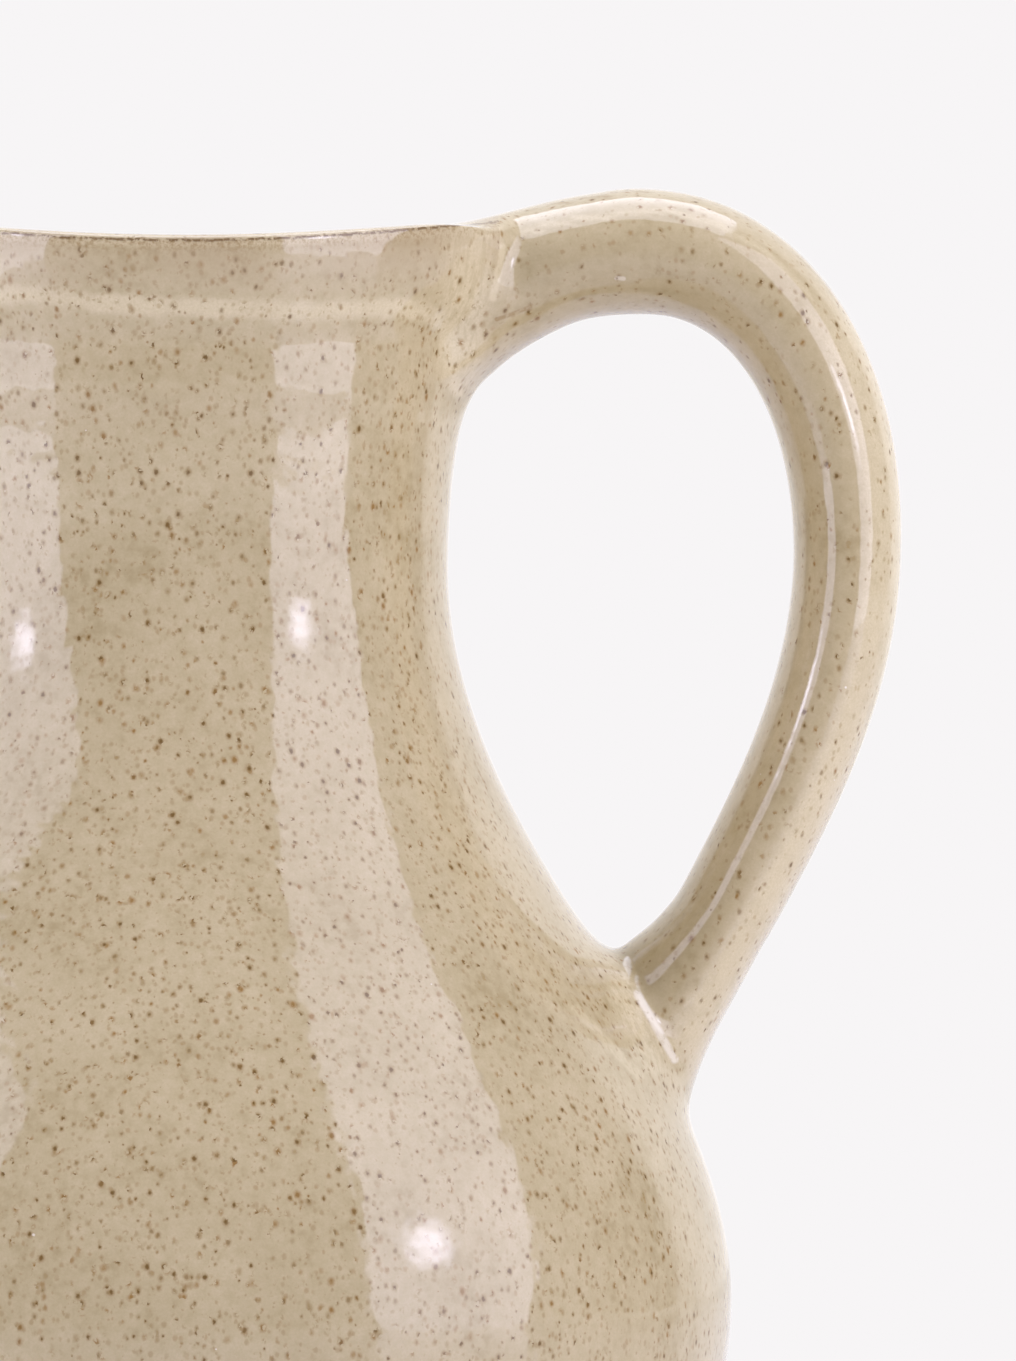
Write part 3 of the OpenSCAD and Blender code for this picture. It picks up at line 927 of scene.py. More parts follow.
RIDGE_LINE = [(-60, 191.5), (-17.4, 190.5), (-8.6, 189.2), (3.8, 188.5), (20.2, 188.3), (30.6, 189.0),
              (35.1, 188.3), (36.7, 186.6), (37.8, 182.3), (38.2, 179.0)]
RIDGE_REACH, RIDGE_FULL = 2.4, 0.1
RIDGE_FROM_R, RIDGE_END_X = 30 * MM, 39 * MM
WORKED_LINES = [([(39.8, 197.5), (38.6, 181.5)], 4.6), ([(60.5, 98.5), (65.0, 89.5)], 3.4)]
WORKED_FULL = 0.3
places, _, _ = vertex_arrays(wall)
side_view = places[:, [0, 2]] / MM
across, _ = across_and_turn(places)
ridge = nearness(RIDGE_LINE, RIDGE_REACH, RIDGE_FULL)
ridge *= (across > RIDGE_FROM_R) & (places[:, 0] < RIDGE_END_X)
worked = np.zeros(len(places))
for line, reach in WORKED_LINES:
    worked = np.maximum(worked, nearness(line, reach, WORKED_FULL))
keep_attribute(wall, "ridge", ridge)
print("Vertices on the ridge and on worked places:", int((ridge > 0.5).sum()), int((worked > 0.5).sum()))

# %% [markdown]
# ## The strap and its edges
# The glaze is thin and cream on the strap's outer side, greener on its inner side, and below the crown the
# change between them is plain. Over the crown only a painted highlight runs along each side as a cream
# band, standing for the overhead softbox's reflection, and above it a fine brown line. The strap's own
# middle line gives how far out a vertex lies: -1 on the strap's inner side and 1 on its outer side.

# %% Mark the strap, its outer side, the painted highlight over its crown and the line along its top
STRAP_START_X = (44.0, 49.0)
STRAP_OFF_WALL = (2.5 * MM, 6 * MM)
CROWN_FADE = (184.0, 194.0)
OUTER_SIDE_FROM = (0.1, 0.42)
ON_CROWN_SHARE = 0.12
# Where the painted highlight lies over the crown, as a share of the strap's half thickness.
CROWN_HIGHLIGHT_AT, CROWN_HIGHLIGHT_FADE = 0.54, (0.02, 0.07)
TOP_LINE_AT, TOP_LINE_FADE = 0.9, (0.01, 0.05)
TOP_LINE_FROM_Y = (3.5 * MM, 5.5 * MM)
middles = (outer_line + inner_line) / 2 / MM
half_ts = np.hypot(*(outer_line - inner_line).T) / 2
outwards = (outer_line - inner_line) / (2 * half_ts[:, None])
steps = side_view[:, None, :] - middles[None, :, :]
nearest = np.argmin(np.hypot(steps[:, :, 0], steps[:, :, 1]), axis=1)
off = ((side_view - middles[nearest]) * outwards[nearest]).sum(axis=1) / (half_ts[nearest] / MM)
plain_r = np.interp(places[:, 2], outer_heights, [wall_r(z) for z in outer_heights])
on_strap = soft_step(*STRAP_START_X, side_view[:, 0]) * soft_step(*STRAP_OFF_WALL, across - plain_r)
on_crown = soft_step(*CROWN_FADE, side_view[:, 1])
outside = soft_step(*OUTER_SIDE_FROM, off) * (ON_CROWN_SHARE + (1 - ON_CROWN_SHARE) * (1 - on_crown))
# A painted highlight: a cream band along each side of the crown, standing for the overhead softbox's
# reflection.
band = (1 - soft_step(*CROWN_HIGHLIGHT_FADE, abs(off - CROWN_HIGHLIGHT_AT))) * on_crown
top_line = (1 - soft_step(*TOP_LINE_FADE, abs(off - TOP_LINE_AT))) * on_crown
top_line *= soft_step(*TOP_LINE_FROM_Y, abs(places[:, 1]))
keep_attribute(wall, "worked", worked * (1 - on_strap))
keep_attribute(wall, "strap", on_strap)
# Cream on the strap's outer side, and the painted highlight over the crown.
keep_attribute(wall, "strap_cream_and_highlight", on_strap * np.maximum(outside, band))
keep_attribute(wall, "top_line", on_strap * top_line)
print("Vertices on the strap:", int((on_strap > 0.5).sum()))

# %% [markdown]
# ## The depth below the rim
# Iron gathers in a line just under the rim's edge, and the glaze is a little darker below it. Both follow
# the rim's bow. So each vertex keeps how far it lies below the rim's edge, in millimetres.

# %% Measure how far each vertex lies below the rim
BOW_END_X = 45 * MM
RIM_END_X = 44 * MM
FAR_BELOW = 99
rim_heights = RIM_Z + np.array([dip(max(min(x, BOW_END_X), -BOW_END_X)) for x in places[:, 0]])
below_rim = np.where(places[:, 0] < RIM_END_X, (rim_heights - places[:, 2]) / MM, FAR_BELOW)
keep_attribute(wall, "below_rim", below_rim)
print("Deepest vertex below the rim in mm:", round(float(below_rim.max()), 1))

# %% [markdown]
# ## Shared effects as node groups
# Four effects serve more than one glaze or mark. One scatters iron specks, which are small brown blots
# with a rusty halo, some large and some small. One clouds the glaze with soft patches. One lets the
# surface waver a little, because a thrown and glazed wall is never quite even. One draws a short mark of
# the hand or a painted highlight. Each is a node group with named inputs, built once and placed with other
# values wherever it is needed.

# %% Helpers for node trees
def feed(tree, socket, value):
    """Link another socket to this one, or set its value."""
    if isinstance(value, bpy.types.NodeSocket):
        tree.links.new(value, socket)
    else:
        socket.default_value = value


def add(tree, kind, inputs=None, **settings):
    """Add a node, set its properties, and feed its inputs."""
    node = tree.nodes.new(kind)
    for name, value in settings.items():
        setattr(node, name, value)
    for key, value in (inputs or {}).items():
        feed(tree, node.inputs[key], value)
    return node


def start_group(name, numbers, outputs):
    """A node group with a vector input, number inputs with their defaults, and number outputs."""
    group = bpy.data.node_groups.new(name, "ShaderNodeTree")
    group.interface.new_socket("Vector", in_out="INPUT", socket_type="NodeSocketVector")
    for label, value in numbers.items():
        socket = group.interface.new_socket(label, in_out="INPUT", socket_type="NodeSocketFloat")
        socket.default_value = value
    for label in outputs:
        group.interface.new_socket(label, in_out="OUTPUT", socket_type="NodeSocketFloat")
    return group, add(group, "NodeGroupInput").outputs, add(group, "NodeGroupOutput").inputs


def maths(tree, operation, *values):
    """The result of a Math node on up to three values or sockets."""
    return add(tree, "ShaderNodeMath", dict(enumerate(values)), operation=operation).outputs[0]


def times(tree, *values):
    """The product of several values or sockets."""
    product = values[0]
    for value in values[1:]:
        product = maths(tree, "MULTIPLY", product, value)
    return product


def one_less(tree, value, amount=1.0):
    """1, less an amount of the value."""
    return maths(tree, "MULTIPLY_ADD", value, -amount, 1.0)


def vector_maths(tree, operation, *vectors):
    """The result of a Vector Math node, which is a number for a dot product and a length."""
    node = add(tree, "ShaderNodeVectorMath", dict(enumerate(vectors)), operation=operation)
    return node.outputs["Value" if operation in ("DOT_PRODUCT", "LENGTH") else "Vector"]


def scaled(tree, vector, share):
    """A vector times a number."""
    node = add(tree, "ShaderNodeVectorMath", {0: vector, "Scale": share}, operation="SCALE")
    return node.outputs["Vector"]


def axis_of(tree, vector, axis):
    """The X, Y or Z of a vector."""
    return add(tree, "ShaderNodeSeparateXYZ", {0: vector}).outputs[axis]


def ramp(tree, value, low, high, to_low=0.0, to_high=1.0):
    """A smooth step of value from low to high."""
    inputs = {"Value": value, "From Min": low, "From Max": high, "To Min": to_low, "To Max": to_high}
    return add(tree, "ShaderNodeMapRange", inputs, interpolation_type="SMOOTHSTEP").outputs["Result"]


def noise(tree, vector, scale, detail=2.0, rough=0.5):
    """The value of a noise texture around one half."""
    inputs = {"Vector": vector, "Scale": scale, "Detail": detail, "Roughness": rough}
    return add(tree, "ShaderNodeTexNoise", inputs).outputs["Fac"]


def noise_sized(tree, vector, size, detail, rough):
    """A noise whose patches are about as wide as size, in the vector's own unit."""
    return noise(tree, vector, maths(tree, "DIVIDE", 1.0, size), detail, rough)


print("Helpers for node trees are ready")

# %% [markdown]
# ## A group for iron specks
# Iron in the clay melts into the glaze in spots. Voronoi cells give each speck its place and a few
# chances: if it is there at all, how large it is and how rusty. The glaze flowed down a little, so the
# specks are slightly long, and noise frays their outlines. The core and the softer halo come out as two
# masks.

# %% Build the group of the iron specks
SPECK_INPUTS = {"Cell": 1.6, "Radius": 0.3, "Share": 0.5, "Halo": 2.0, "Stretch": 0.7, "Waver": 0.25}
OUTLINE_NOISE = {"Scale": 2.4, "Detail": 2.0}
SMALLEST_SPECK = 0.38
CORE_EDGE = (0.45, 1.15)
HALO_FROM = 0.7
specks, given, result = start_group("iron_specks", SPECK_INPUTS, ("Core", "Halo", "Chance"))
flow = add(specks, "ShaderNodeCombineXYZ", {"X": 1.0, "Y": 1.0, "Z": given["Stretch"]}).outputs[0]
flowed = vector_maths(specks, "MULTIPLY", given["Vector"], flow)
uneven = add(specks, "ShaderNodeTexNoise", {"Vector": flowed} | OUTLINE_NOISE).outputs["Color"]
frayed = scaled(specks, vector_maths(specks, "SUBTRACT", uneven, (0.5, 0.5, 0.5)), given["Waver"])
speck_at = vector_maths(specks, "ADD", flowed, frayed)
cell_scale = maths(specks, "DIVIDE", 1.0, given["Cell"])
cell_inputs = {"Vector": speck_at, "Randomness": 1.0, "Scale": cell_scale}
cells = add(specks, "ShaderNodeTexVoronoi", cell_inputs).outputs
chance = add(specks, "ShaderNodeSeparateColor", {"Color": cells["Color"]}).outputs
here = maths(specks, "LESS_THAN", chance["Red"], given["Share"])
spread = ramp(specks, chance["Green"], 0.0, 1.0, SMALLEST_SPECK, 1.0)
radius = maths(specks, "DIVIDE", times(specks, given["Radius"], spread), given["Cell"])
core_from, core_to, halo_from, halo_to = (
    times(specks, radius, edge) for edge in (*CORE_EDGE, HALO_FROM, given["Halo"]))
core = ramp(specks, cells["Distance"], core_from, core_to, 1.0, 0.0)
halo = ramp(specks, cells["Distance"], halo_from, halo_to, 1.0, 0.0)
specks.links.new(times(specks, core, here), result["Core"])
specks.links.new(times(specks, halo, here), result["Halo"])
specks.links.new(chance["Blue"], result["Chance"])
print("Built", specks.name)

# %% [markdown]
# ## Groups for clouds and for the wavering surface
# The clouds mix wide soft patches, where the glaze is thicker or thinner, with a finer grain. The wavering
# adds flat throwing rings, shallow dents and the fine skin of the glaze. Its rings come from a noise that
# is nearly constant round the jug and changes only with height.

# %% Build the groups of the clouds and of the wavering
CLOUD_INPUTS = {"Patch": 14.0, "Grain": 1.8, "Grain Share": 0.35}
clouds, given, result = start_group("glaze_clouds", CLOUD_INPUTS, ("Tone",))
patches = noise_sized(clouds, given["Vector"], given["Patch"], 3.0, 0.55)
grains = noise_sized(clouds, given["Vector"], given["Grain"], 3.0, 0.6)
tone = add(clouds, "ShaderNodeMix", {"Factor": given["Grain Share"], "A": patches, "B": grains})
clouds.links.new(tone.outputs[0], result["Tone"])

WAVER_INPUTS = {"Ring": 3.5, "Dent": 9.0, "Skin": 1.2, "Skin Share": 0.08}
FLAT_RINGS = (0.07, 0.07, 1.0)
RING_SHARE = 0.3
waver, given, result = start_group("wavering", WAVER_INPUTS, ("Height",))
squeezed = vector_maths(waver, "MULTIPLY", given["Vector"], FLAT_RINGS)
rings_at = noise_sized(waver, squeezed, given["Ring"], 2.0, 0.5)
dents_at = noise_sized(waver, given["Vector"], given["Dent"], 1.0, 0.5)
skin_at = noise_sized(waver, given["Vector"], given["Skin"], 1.0, 0.5)
both = maths(waver, "ADD", times(waver, rings_at, RING_SHARE), dents_at)
height = maths(waver, "MULTIPLY_ADD", skin_at, given["Skin Share"], both)
waver.links.new(height, result["Height"])
print("Built", clouds.name, "and", waver.name)

# %% [markdown]
# ## A group for marks of the hand and painted highlights
# Beside the strap's two ends the potter left a few small marks, such as a line of smeared clay, and two
# creases there are given a painted highlight. Each runs from one place to another, seen from the side, and
# fades out at its reach. It shows on the near side only.

# %% Build the group of the marks of the hand and the painted highlights
ENDS = ("From X", "From Z", "To X", "To Z")
FULL_MARK = 0.35
mark, given, result = start_group("hand_mark_and_highlight", dict.fromkeys(ENDS, 0.0) | {"Reach": 0.5}, ("Share",))
start, end = (add(mark, "ShaderNodeCombineXYZ", {"X": given[x], "Z": given[z]}).outputs[0]
              for x, z in (ENDS[:2], ENDS[2:]))
flat = vector_maths(mark, "MULTIPLY", given["Vector"], (1.0, 0.0, 1.0))
along = vector_maths(mark, "SUBTRACT", end, start)
from_start = vector_maths(mark, "SUBTRACT", flat, start)
how_far = vector_maths(mark, "DOT_PRODUCT", from_start, along)
part = maths(mark, "DIVIDE", how_far, vector_maths(mark, "DOT_PRODUCT", along, along))
part = add(mark, "ShaderNodeClamp", {"Value": part}).outputs[0]
away = vector_maths(mark, "LENGTH", vector_maths(mark, "SUBTRACT", from_start, scaled(mark, along, part)))
near_side = maths(mark, "LESS_THAN", axis_of(mark, given["Vector"], "Y"), 0.0)
painted = ramp(mark, away, times(mark, given["Reach"], FULL_MARK), given["Reach"], 1.0, 0.0)
mark.links.new(times(mark, painted, near_side), result["Share"])
print("Node groups:", [group.name for group in bpy.data.node_groups])

# %% [markdown]
# ## The colour of the glaze
# The glaze is a glossy greenish beige. It is cream where it breaks over an edge, over the collar's ridge,
# over worked places and on the strap's outer side, and it is greener where it pools. A cream band along
# the strap's crown is a painted highlight. The colour is laid up as the glaze itself is read, from the body
# colour outwards, each layer over the last by a share. Noise frays each layer's edge, since a glaze never
# ends in a clean line.

# %% Colours, and the glaze without its iron
POOLED = (0.415, 0.328, 0.170)
BODY = (0.522, 0.428, 0.250)
PALE = (0.582, 0.482, 0.295)
# Cream of broken glaze, also used for painted highlights on the strap's crown and in the crease beside the
# collar.
CREAM_BREAK_AND_HIGHLIGHT = (0.690, 0.588, 0.372)
UNDER_RIM = (0.450, 0.347, 0.205)
IRON = (0.135, 0.068, 0.014)
IRON_HALO = (0.310, 0.200, 0.070)
RUST = (0.350, 0.195, 0.058)
RIM_IRON = (0.160, 0.090, 0.034)
PINHOLE = (0.85, 0.79, 0.68)
# Pale cream of a mark, also the painted highlight in the lower crease.
PALE_MARK_AND_HIGHLIGHT = (0.80, 0.72, 0.56)

GLAZE_CLOUDS = {"Patch": 15.0, "Grain": 1.7, "Grain_Share": 0.45}
BODY_FROM_TONE, PALE_FROM_TONE = (0.30, 0.50), (0.46, 0.66)
UNEVEN_NOISE, FRAY_NOISE = (0.45, 3.0, 0.5), (0.16, 4.0, 0.6)
STREAK_NOISE, GRAIN_NOISE = (1.1, 3.0, 0.6), (2.8, 3.0, 0.75)
BREAK_FROM_BEND, UNEVEN_BEND = (0.11, 0.24), 0.05
POOL_FROM_BEND = (-0.14, -0.01)
POOLED_SHARE, BROKEN_SHARE, STRAP_DARKER_SHARE = 0.45, 0.8, 0.12
RIDGE_FRAY, RIDGE_EDGE, RIDGE_SHARE = 1.6, (0.95, 1.95), 0.95
OUTSIDE_UNEVEN, OUTSIDE_SHARE = (0.2, 0.6, 0.6, 1.0), 0.78
DRAWN_DOWN = (1.0, 1.0, 0.13)
STREAKS, WORKED_SHARE = (0.35, 0.60, 0.35, 1.0), 0.85
GRAIN = (0.25, 0.75, 0.0, 0.34)


def shade(hue):
    """A colour with its alpha."""
    return (*hue, 1.0)


def start_material(stuff):
    """Empty a material's tree and give its shader, and Object coordinates in millimetres."""
    stuff.use_nodes = True
    tree = stuff.node_tree
    tree.nodes.clear()
    shader = add(tree, "ShaderNodeBsdfPrincipled")
    add(tree, "ShaderNodeOutputMaterial", {"Surface": shader.outputs["BSDF"]})
    in_metres = add(tree, "ShaderNodeTexCoord").outputs["Object"]
    return tree, shader, scaled(tree, in_metres, 1 / MM)


def placed(tree, group, vector, **numbers):
    """The outputs of a shared group, placed with its own values."""
    node = add(tree, "ShaderNodeGroup", node_tree=group)
    tree.links.new(vector, node.inputs["Vector"])
    for label, value in numbers.items():
        feed(tree, node.inputs[label.replace("_", " ")], value)
    return node.outputs


def attribute(tree, name):
    """A number that was kept on the piece's vertices, or 0 where the piece has none of that name."""
    return add(tree, "ShaderNodeAttribute", attribute_name=name).outputs["Fac"]


def over(tree, below, colour, *shares):
    """Lay a colour over another by the product of the shares."""
    mix = add(tree, "ShaderNodeMix", {"Factor": times(tree, *shares)}, data_type="RGBA")
    feed(tree, mix.inputs[6], below)
    feed(tree, mix.inputs[7], colour)
    return mix.outputs[2]


def clouded(tree, at, pale_share):
    """Clouds from the pooled colour over the body colour to the pale one."""
    tone = placed(tree, clouds, at, **GLAZE_CLOUDS)["Tone"]
    colour = over(tree, shade(POOLED), shade(BODY), ramp(tree, tone, *BODY_FROM_TONE))
    return over(tree, colour, shade(PALE), ramp(tree, tone, *PALE_FROM_TONE, pale_share, 1.0))


def broken_and_pooled(tree, at, colour):
    """Cream where the glaze breaks, and greener where it pools."""
    bend, strap_share = attribute(tree, "bend"), attribute(tree, "strap")
    uneven = noise(tree, at, *UNEVEN_NOISE)
    broken = ramp(tree, maths(tree, "MULTIPLY_ADD", uneven, UNEVEN_BEND, bend), *BREAK_FROM_BEND)
    pooled = ramp(tree, bend, *POOL_FROM_BEND, 1.0, 0.0)
    fray = noise(tree, at, *FRAY_NOISE)
    frayed_ridge = maths(tree, "MULTIPLY_ADD", fray, RIDGE_FRAY, attribute(tree, "ridge"))
    drawn = vector_maths(tree, "MULTIPLY", at, DRAWN_DOWN)
    streaks = ramp(tree, noise(tree, drawn, *STREAK_NOISE), *STREAKS)
    outside_uneven = ramp(tree, uneven, *OUTSIDE_UNEVEN)
    cream = shade(CREAM_BREAK_AND_HIGHLIGHT)
    # The whole strap is made a little darker and greener than the wall.
    colour = over(tree, colour, shade(POOLED), strap_share, STRAP_DARKER_SHARE)
    colour = over(tree, colour, shade(POOLED), pooled, POOLED_SHARE)
    colour = over(tree, colour, cream, broken, one_less(tree, strap_share), BROKEN_SHARE)
    colour = over(tree, colour, cream, ramp(tree, frayed_ridge, *RIDGE_EDGE), RIDGE_SHARE)
    # Cream on the strap's outer side, and a painted highlight along its crown.
    colour = over(tree, colour, cream, attribute(tree, "strap_cream_and_highlight"), outside_uneven, OUTSIDE_SHARE)
    colour = over(tree, colour, cream, attribute(tree, "worked"), streaks, WORKED_SHARE)
    return over(tree, colour, shade(POOLED), ramp(tree, noise(tree, at, *GRAIN_NOISE), *GRAIN))


print("Body colour of the glaze:", BODY)

# %% [markdown]
# ## Iron in the glaze
# Dark specks with rusty halos lie in loose clusters, with many faint ones between them, and some white
# pinholes. Three layers, each with its cell, its radius, the least and the most that are there, and its
# darkness, give the sizes: small faint ones, middling ones, and large dark ones. The clusters follow
# winding lines, which are where a wide noise is near one half. Worked places and the strap have fewer
# specks, and a fine broken brown line runs along the strap's top.

# %% Specks, pinholes and the strap's line, and the finish of a glaze
SPECK_LAYERS = [
    (0.95, 0.23, 0.35, 0.90, 0.0),
    (1.22, 0.29, 0.26, 0.95, 0.5),
    (1.48, 0.36, 0.24, 1.0, 1.0),
]
SPECK_SHAPE = {"Halo": 2.1, "Stretch": 0.8, "Waver": 0.35}
HALO_SHARE, DARK_HALO_SHARE, CORE_SHARE = 0.40, 0.2, 0.85
RUSTY_FROM, RUSTY_SHARE = (0.45, 1.0), 0.7
WINDING_NOISE, NEAR_WINDING = (0.34, 4.0, 0.62), (0.012, 0.10)
FEWER_ON_WORKED, FEWER_ON_STRAP = 0.6, 0.5
LINE_NOISE, LINE_GAPS = (0.5, 3.0, 0.5), (0.40, 0.58, 0.15, 0.75)
PINHOLES = {"Cell": 5.5, "Radius": 0.24, "Share": 0.4, "Halo": 1.5, "Stretch": 1.0, "Waver": 0.2}
PINHOLE_SHARE = 0.7
GLAZE_WAVER = {"Ring": 7.0, "Dent": 12.0, "Skin": 3.0, "Skin_Share": 0.45}
WAVER_DEPTH = 0.14 * MM
GLASS_IOR = 1.52


def speckled(tree, at, colour, speck_share):
    """Three layers of iron specks over a glaze, in clusters along winding lines."""
    off_worked = one_less(tree, attribute(tree, "worked"), FEWER_ON_WORKED)
    off_strap = one_less(tree, attribute(tree, "strap"), FEWER_ON_STRAP)
    speck_share = times(tree, speck_share, off_worked, off_strap)
    off_line = maths(tree, "ABSOLUTE", maths(tree, "SUBTRACT", noise(tree, at, *WINDING_NOISE), 0.5))
    near_line = ramp(tree, off_line, *NEAR_WINDING, 1.0, 0.0)
    for cell, radius, least, most, dark in SPECK_LAYERS:
        share = times(tree, ramp(tree, near_line, 0.0, 1.0, least, most), speck_share)
        blot = placed(tree, specks, at, Cell=cell, Radius=radius, Share=share, **SPECK_SHAPE)
        rusty = ramp(tree, blot["Chance"], *RUSTY_FROM)
        rim, heart = (over(tree, shade(hue), shade(RUST), rusty, RUSTY_SHARE) for hue in (IRON_HALO, IRON))
        colour = over(tree, colour, rim, blot["Halo"], HALO_SHARE + DARK_HALO_SHARE * dark)
        colour = over(tree, colour, heart, blot["Core"], CORE_SHARE * dark)
    return colour


def glaze(stuff, speck_share, pale_share):
    """A speckled glaze: how many of its specks are there, and how pale it is at the least."""
    tree, shader, at = start_material(stuff)
    colour = broken_and_pooled(tree, at, clouded(tree, at, pale_share))
    colour = speckled(tree, at, colour, speck_share)
    line_gaps = ramp(tree, noise(tree, at, *LINE_NOISE), *LINE_GAPS)
    colour = over(tree, colour, shade(IRON_HALO), attribute(tree, "top_line"), line_gaps)
    holes = placed(tree, specks, at, **PINHOLES)
    colour = over(tree, colour, shade(PINHOLE), holes["Core"], PINHOLE_SHARE)
    return tree, shader, at, colour


def finish_glaze(tree, shader, at, colour, roughness):
    """Give the glaze its gloss and its slightly wavering surface."""
    height = placed(tree, waver, at, **GLAZE_WAVER)["Height"]
    bump = add(tree, "ShaderNodeBump", {"Height": height, "Distance": WAVER_DEPTH, "Strength": 1.0})
    tree.links.new(bump.outputs["Normal"], shader.inputs["Normal"])
    tree.links.new(colour, shader.inputs["Base Color"])
    shader.inputs["Roughness"].default_value = roughness
    shader.inputs["IOR"].default_value = GLASS_IOR


print("Layers of specks:", len(SPECK_LAYERS))

# %% [markdown]
# ## The outer glaze and the liner
# The outer glaze has some things of its own. Below the rim it is darker in patches, just under the rim's
# edge the iron gathers in a broken brown line with a fringe of brown below it, and marks of the hand and
# painted highlights lie at the strap's ends. They are a painted highlight as a pale strip in the lower
# crease, a smear of clay on the belly, a painted highlight down the crease beside the collar, a brown crack
# under the strap's root and a white spot on the strap. The liner is paler, with fewer specks. Each mark is
# given by its two ends in millimetres, its reach, its colour and its share.

# %% Materials of the two glazes
OUTER_SPECKS, OUTER_PALE, OUTER_ROUGHNESS = 1.0, 0.0, 0.06
LINER_SPECKS, LINER_PALE, LINER_ROUGHNESS = 0.35, 0.4, 0.07
DARK_TO_BELOW = (3.0, 9.5)
DARK_NOISE, DARK_PATCHES, DARK_SHARE = (0.07, 2.0, 0.5), (0.38, 0.60, 0.35, 1.0), 0.55
WANDER_NOISE, WANDER, LINE_BELOW = (0.9, 3.0, 0.5), 0.5, 1.05
LINE_TOP, LINE_FOOT, LINE_SHARE = (-0.25, -0.02), (0.05, 0.35), 0.9
GAP_NOISE, GAP_EDGE = (1.3, 3.0, 0.7), (0.36, 0.54)
FRINGE_TOP, FRINGE_FOOT, FRINGE_SHARE = (-0.10, 0.05), (0.1, 2.6), 0.6
FRINGE_NOISE, FRINGE_SPECKS = (2.2, 3.0, 0.7), (0.44, 0.62)
MARKS_AND_HIGHLIGHTS = [
    # A painted highlight: the pale strip in the lower crease.
    ((62.3, 97.8), (67.3, 89.0), 0.75, PALE_MARK_AND_HIGHLIGHT, 0.85),
    ((53.9, 96.4), (62.5, 87.1), 0.80, CREAM_BREAK_AND_HIGHLIGHT, 0.40),
    # A painted highlight: the pale line down the crease beside the collar.
    ((44.3, 197.6), (43.0, 190.8), 0.70, CREAM_BREAK_AND_HIGHLIGHT, 0.60),
    ((43.5, 188.0), (48.0, 189.7), 0.38, IRON_HALO, 0.70),
    ((59.5, 193.6), (60.5, 193.5), 0.40, PALE_MARK_AND_HIGHLIGHT, 0.60),
]
MARK_NOISE, MARK_FRAY = (0.9, 3.0, 0.6), (0.32, 0.52, 0.35, 1.0)


def band_between(tree, value, top, foot):
    """1 between the soft edges top and foot of a value, and 0 outside them."""
    return times(tree, ramp(tree, value, *top), ramp(tree, value, *foot, 1.0, 0.0))


tree, shader, at, colour = glaze(glaze_stuff, OUTER_SPECKS, OUTER_PALE)
below = attribute(tree, "below_rim")
high_up = ramp(tree, below, *DARK_TO_BELOW, 1.0, 0.0)
patchy = ramp(tree, noise(tree, at, *DARK_NOISE), *DARK_PATCHES)
colour = over(tree, colour, shade(UNDER_RIM), high_up, patchy, DARK_SHARE)
from_line = maths(tree, "SUBTRACT", below, LINE_BELOW)
wander = maths(tree, "MULTIPLY_ADD", noise(tree, at, *WANDER_NOISE), WANDER, from_line)
fringe = band_between(tree, wander, FRINGE_TOP, FRINGE_FOOT)
fringe_specks = ramp(tree, noise(tree, at, *FRINGE_NOISE), *FRINGE_SPECKS)
colour = over(tree, colour, shade(IRON_HALO), fringe, fringe_specks, FRINGE_SHARE)
line = band_between(tree, wander, LINE_TOP, LINE_FOOT)
gaps = ramp(tree, noise(tree, at, *GAP_NOISE), *GAP_EDGE)
colour = over(tree, colour, shade(RIM_IRON), line, gaps, LINE_SHARE)
frayed = ramp(tree, noise(tree, at, *MARK_NOISE), *MARK_FRAY)
# Marks of the hand, and painted highlights in two creases.
for (from_x, from_z), (to_x, to_z), reach, hue, share in MARKS_AND_HIGHLIGHTS:
    drawn = placed(tree, mark, at, From_X=from_x, From_Z=from_z, To_X=to_x, To_Z=to_z, Reach=reach)
    colour = over(tree, colour, shade(hue), drawn["Share"], frayed, share)
finish_glaze(tree, shader, at, colour, OUTER_ROUGHNESS)

tree, shader, at, colour = glaze(liner_stuff, LINER_SPECKS, LINER_PALE)
finish_glaze(tree, shader, at, colour, LINER_ROUGHNESS)
print("Glazes:", glaze_stuff.name, liner_stuff.name)

# %% [markdown]
# ## Bare clay
# The foot and the recess inside it are unglazed stoneware: a warm buff clay with fine dark grit, matt, and
# a little rough under the finger. The strap's clay is the same, all of it under the glaze. A picture of
# clay could be laid on it, but noise and small grains need none and have no seam.

# %% Material of the bare clay
CLAY_BUFF = (0.42, 0.31, 0.205)
CLAY_TOAST = (0.33, 0.215, 0.125)
CLAY_GRIT = (0.12, 0.08, 0.05)
CLAY_CLOUDS, BUFF_FROM_TONE = {"Patch": 9.0, "Grain": 0.8, "Grain_Share": 0.5}, (0.35, 0.6)
GRIT = {"Cell": 0.9, "Radius": 0.22, "Share": 0.35, "Halo": 1.6, "Stretch": 1.0, "Waver": 0.3}
GRIT_SHARE, GRIT_RISE = 0.8, 0.3
CLAY_NOISE, GRIT_DEPTH, CLAY_ROUGHNESS = (2.2, 4.0, 0.65), 0.12 * MM, 0.82
clay_stuff = bpy.data.materials.new("bare_clay")
tree, shader, at = start_material(clay_stuff)
tone = placed(tree, clouds, at, **CLAY_CLOUDS)["Tone"]
colour = over(tree, shade(CLAY_TOAST), shade(CLAY_BUFF), ramp(tree, tone, *BUFF_FROM_TONE))
grit = placed(tree, specks, at, **GRIT)["Core"]
colour = over(tree, colour, shade(CLAY_GRIT), grit, GRIT_SHARE)
tree.links.new(colour, shader.inputs["Base Color"])
height = maths(tree, "MULTIPLY_ADD", grit, GRIT_RISE, noise(tree, at, *CLAY_NOISE))
bump = add(tree, "ShaderNodeBump", {"Height": height, "Distance": GRIT_DEPTH})
tree.links.new(bump.outputs["Normal"], shader.inputs["Normal"])
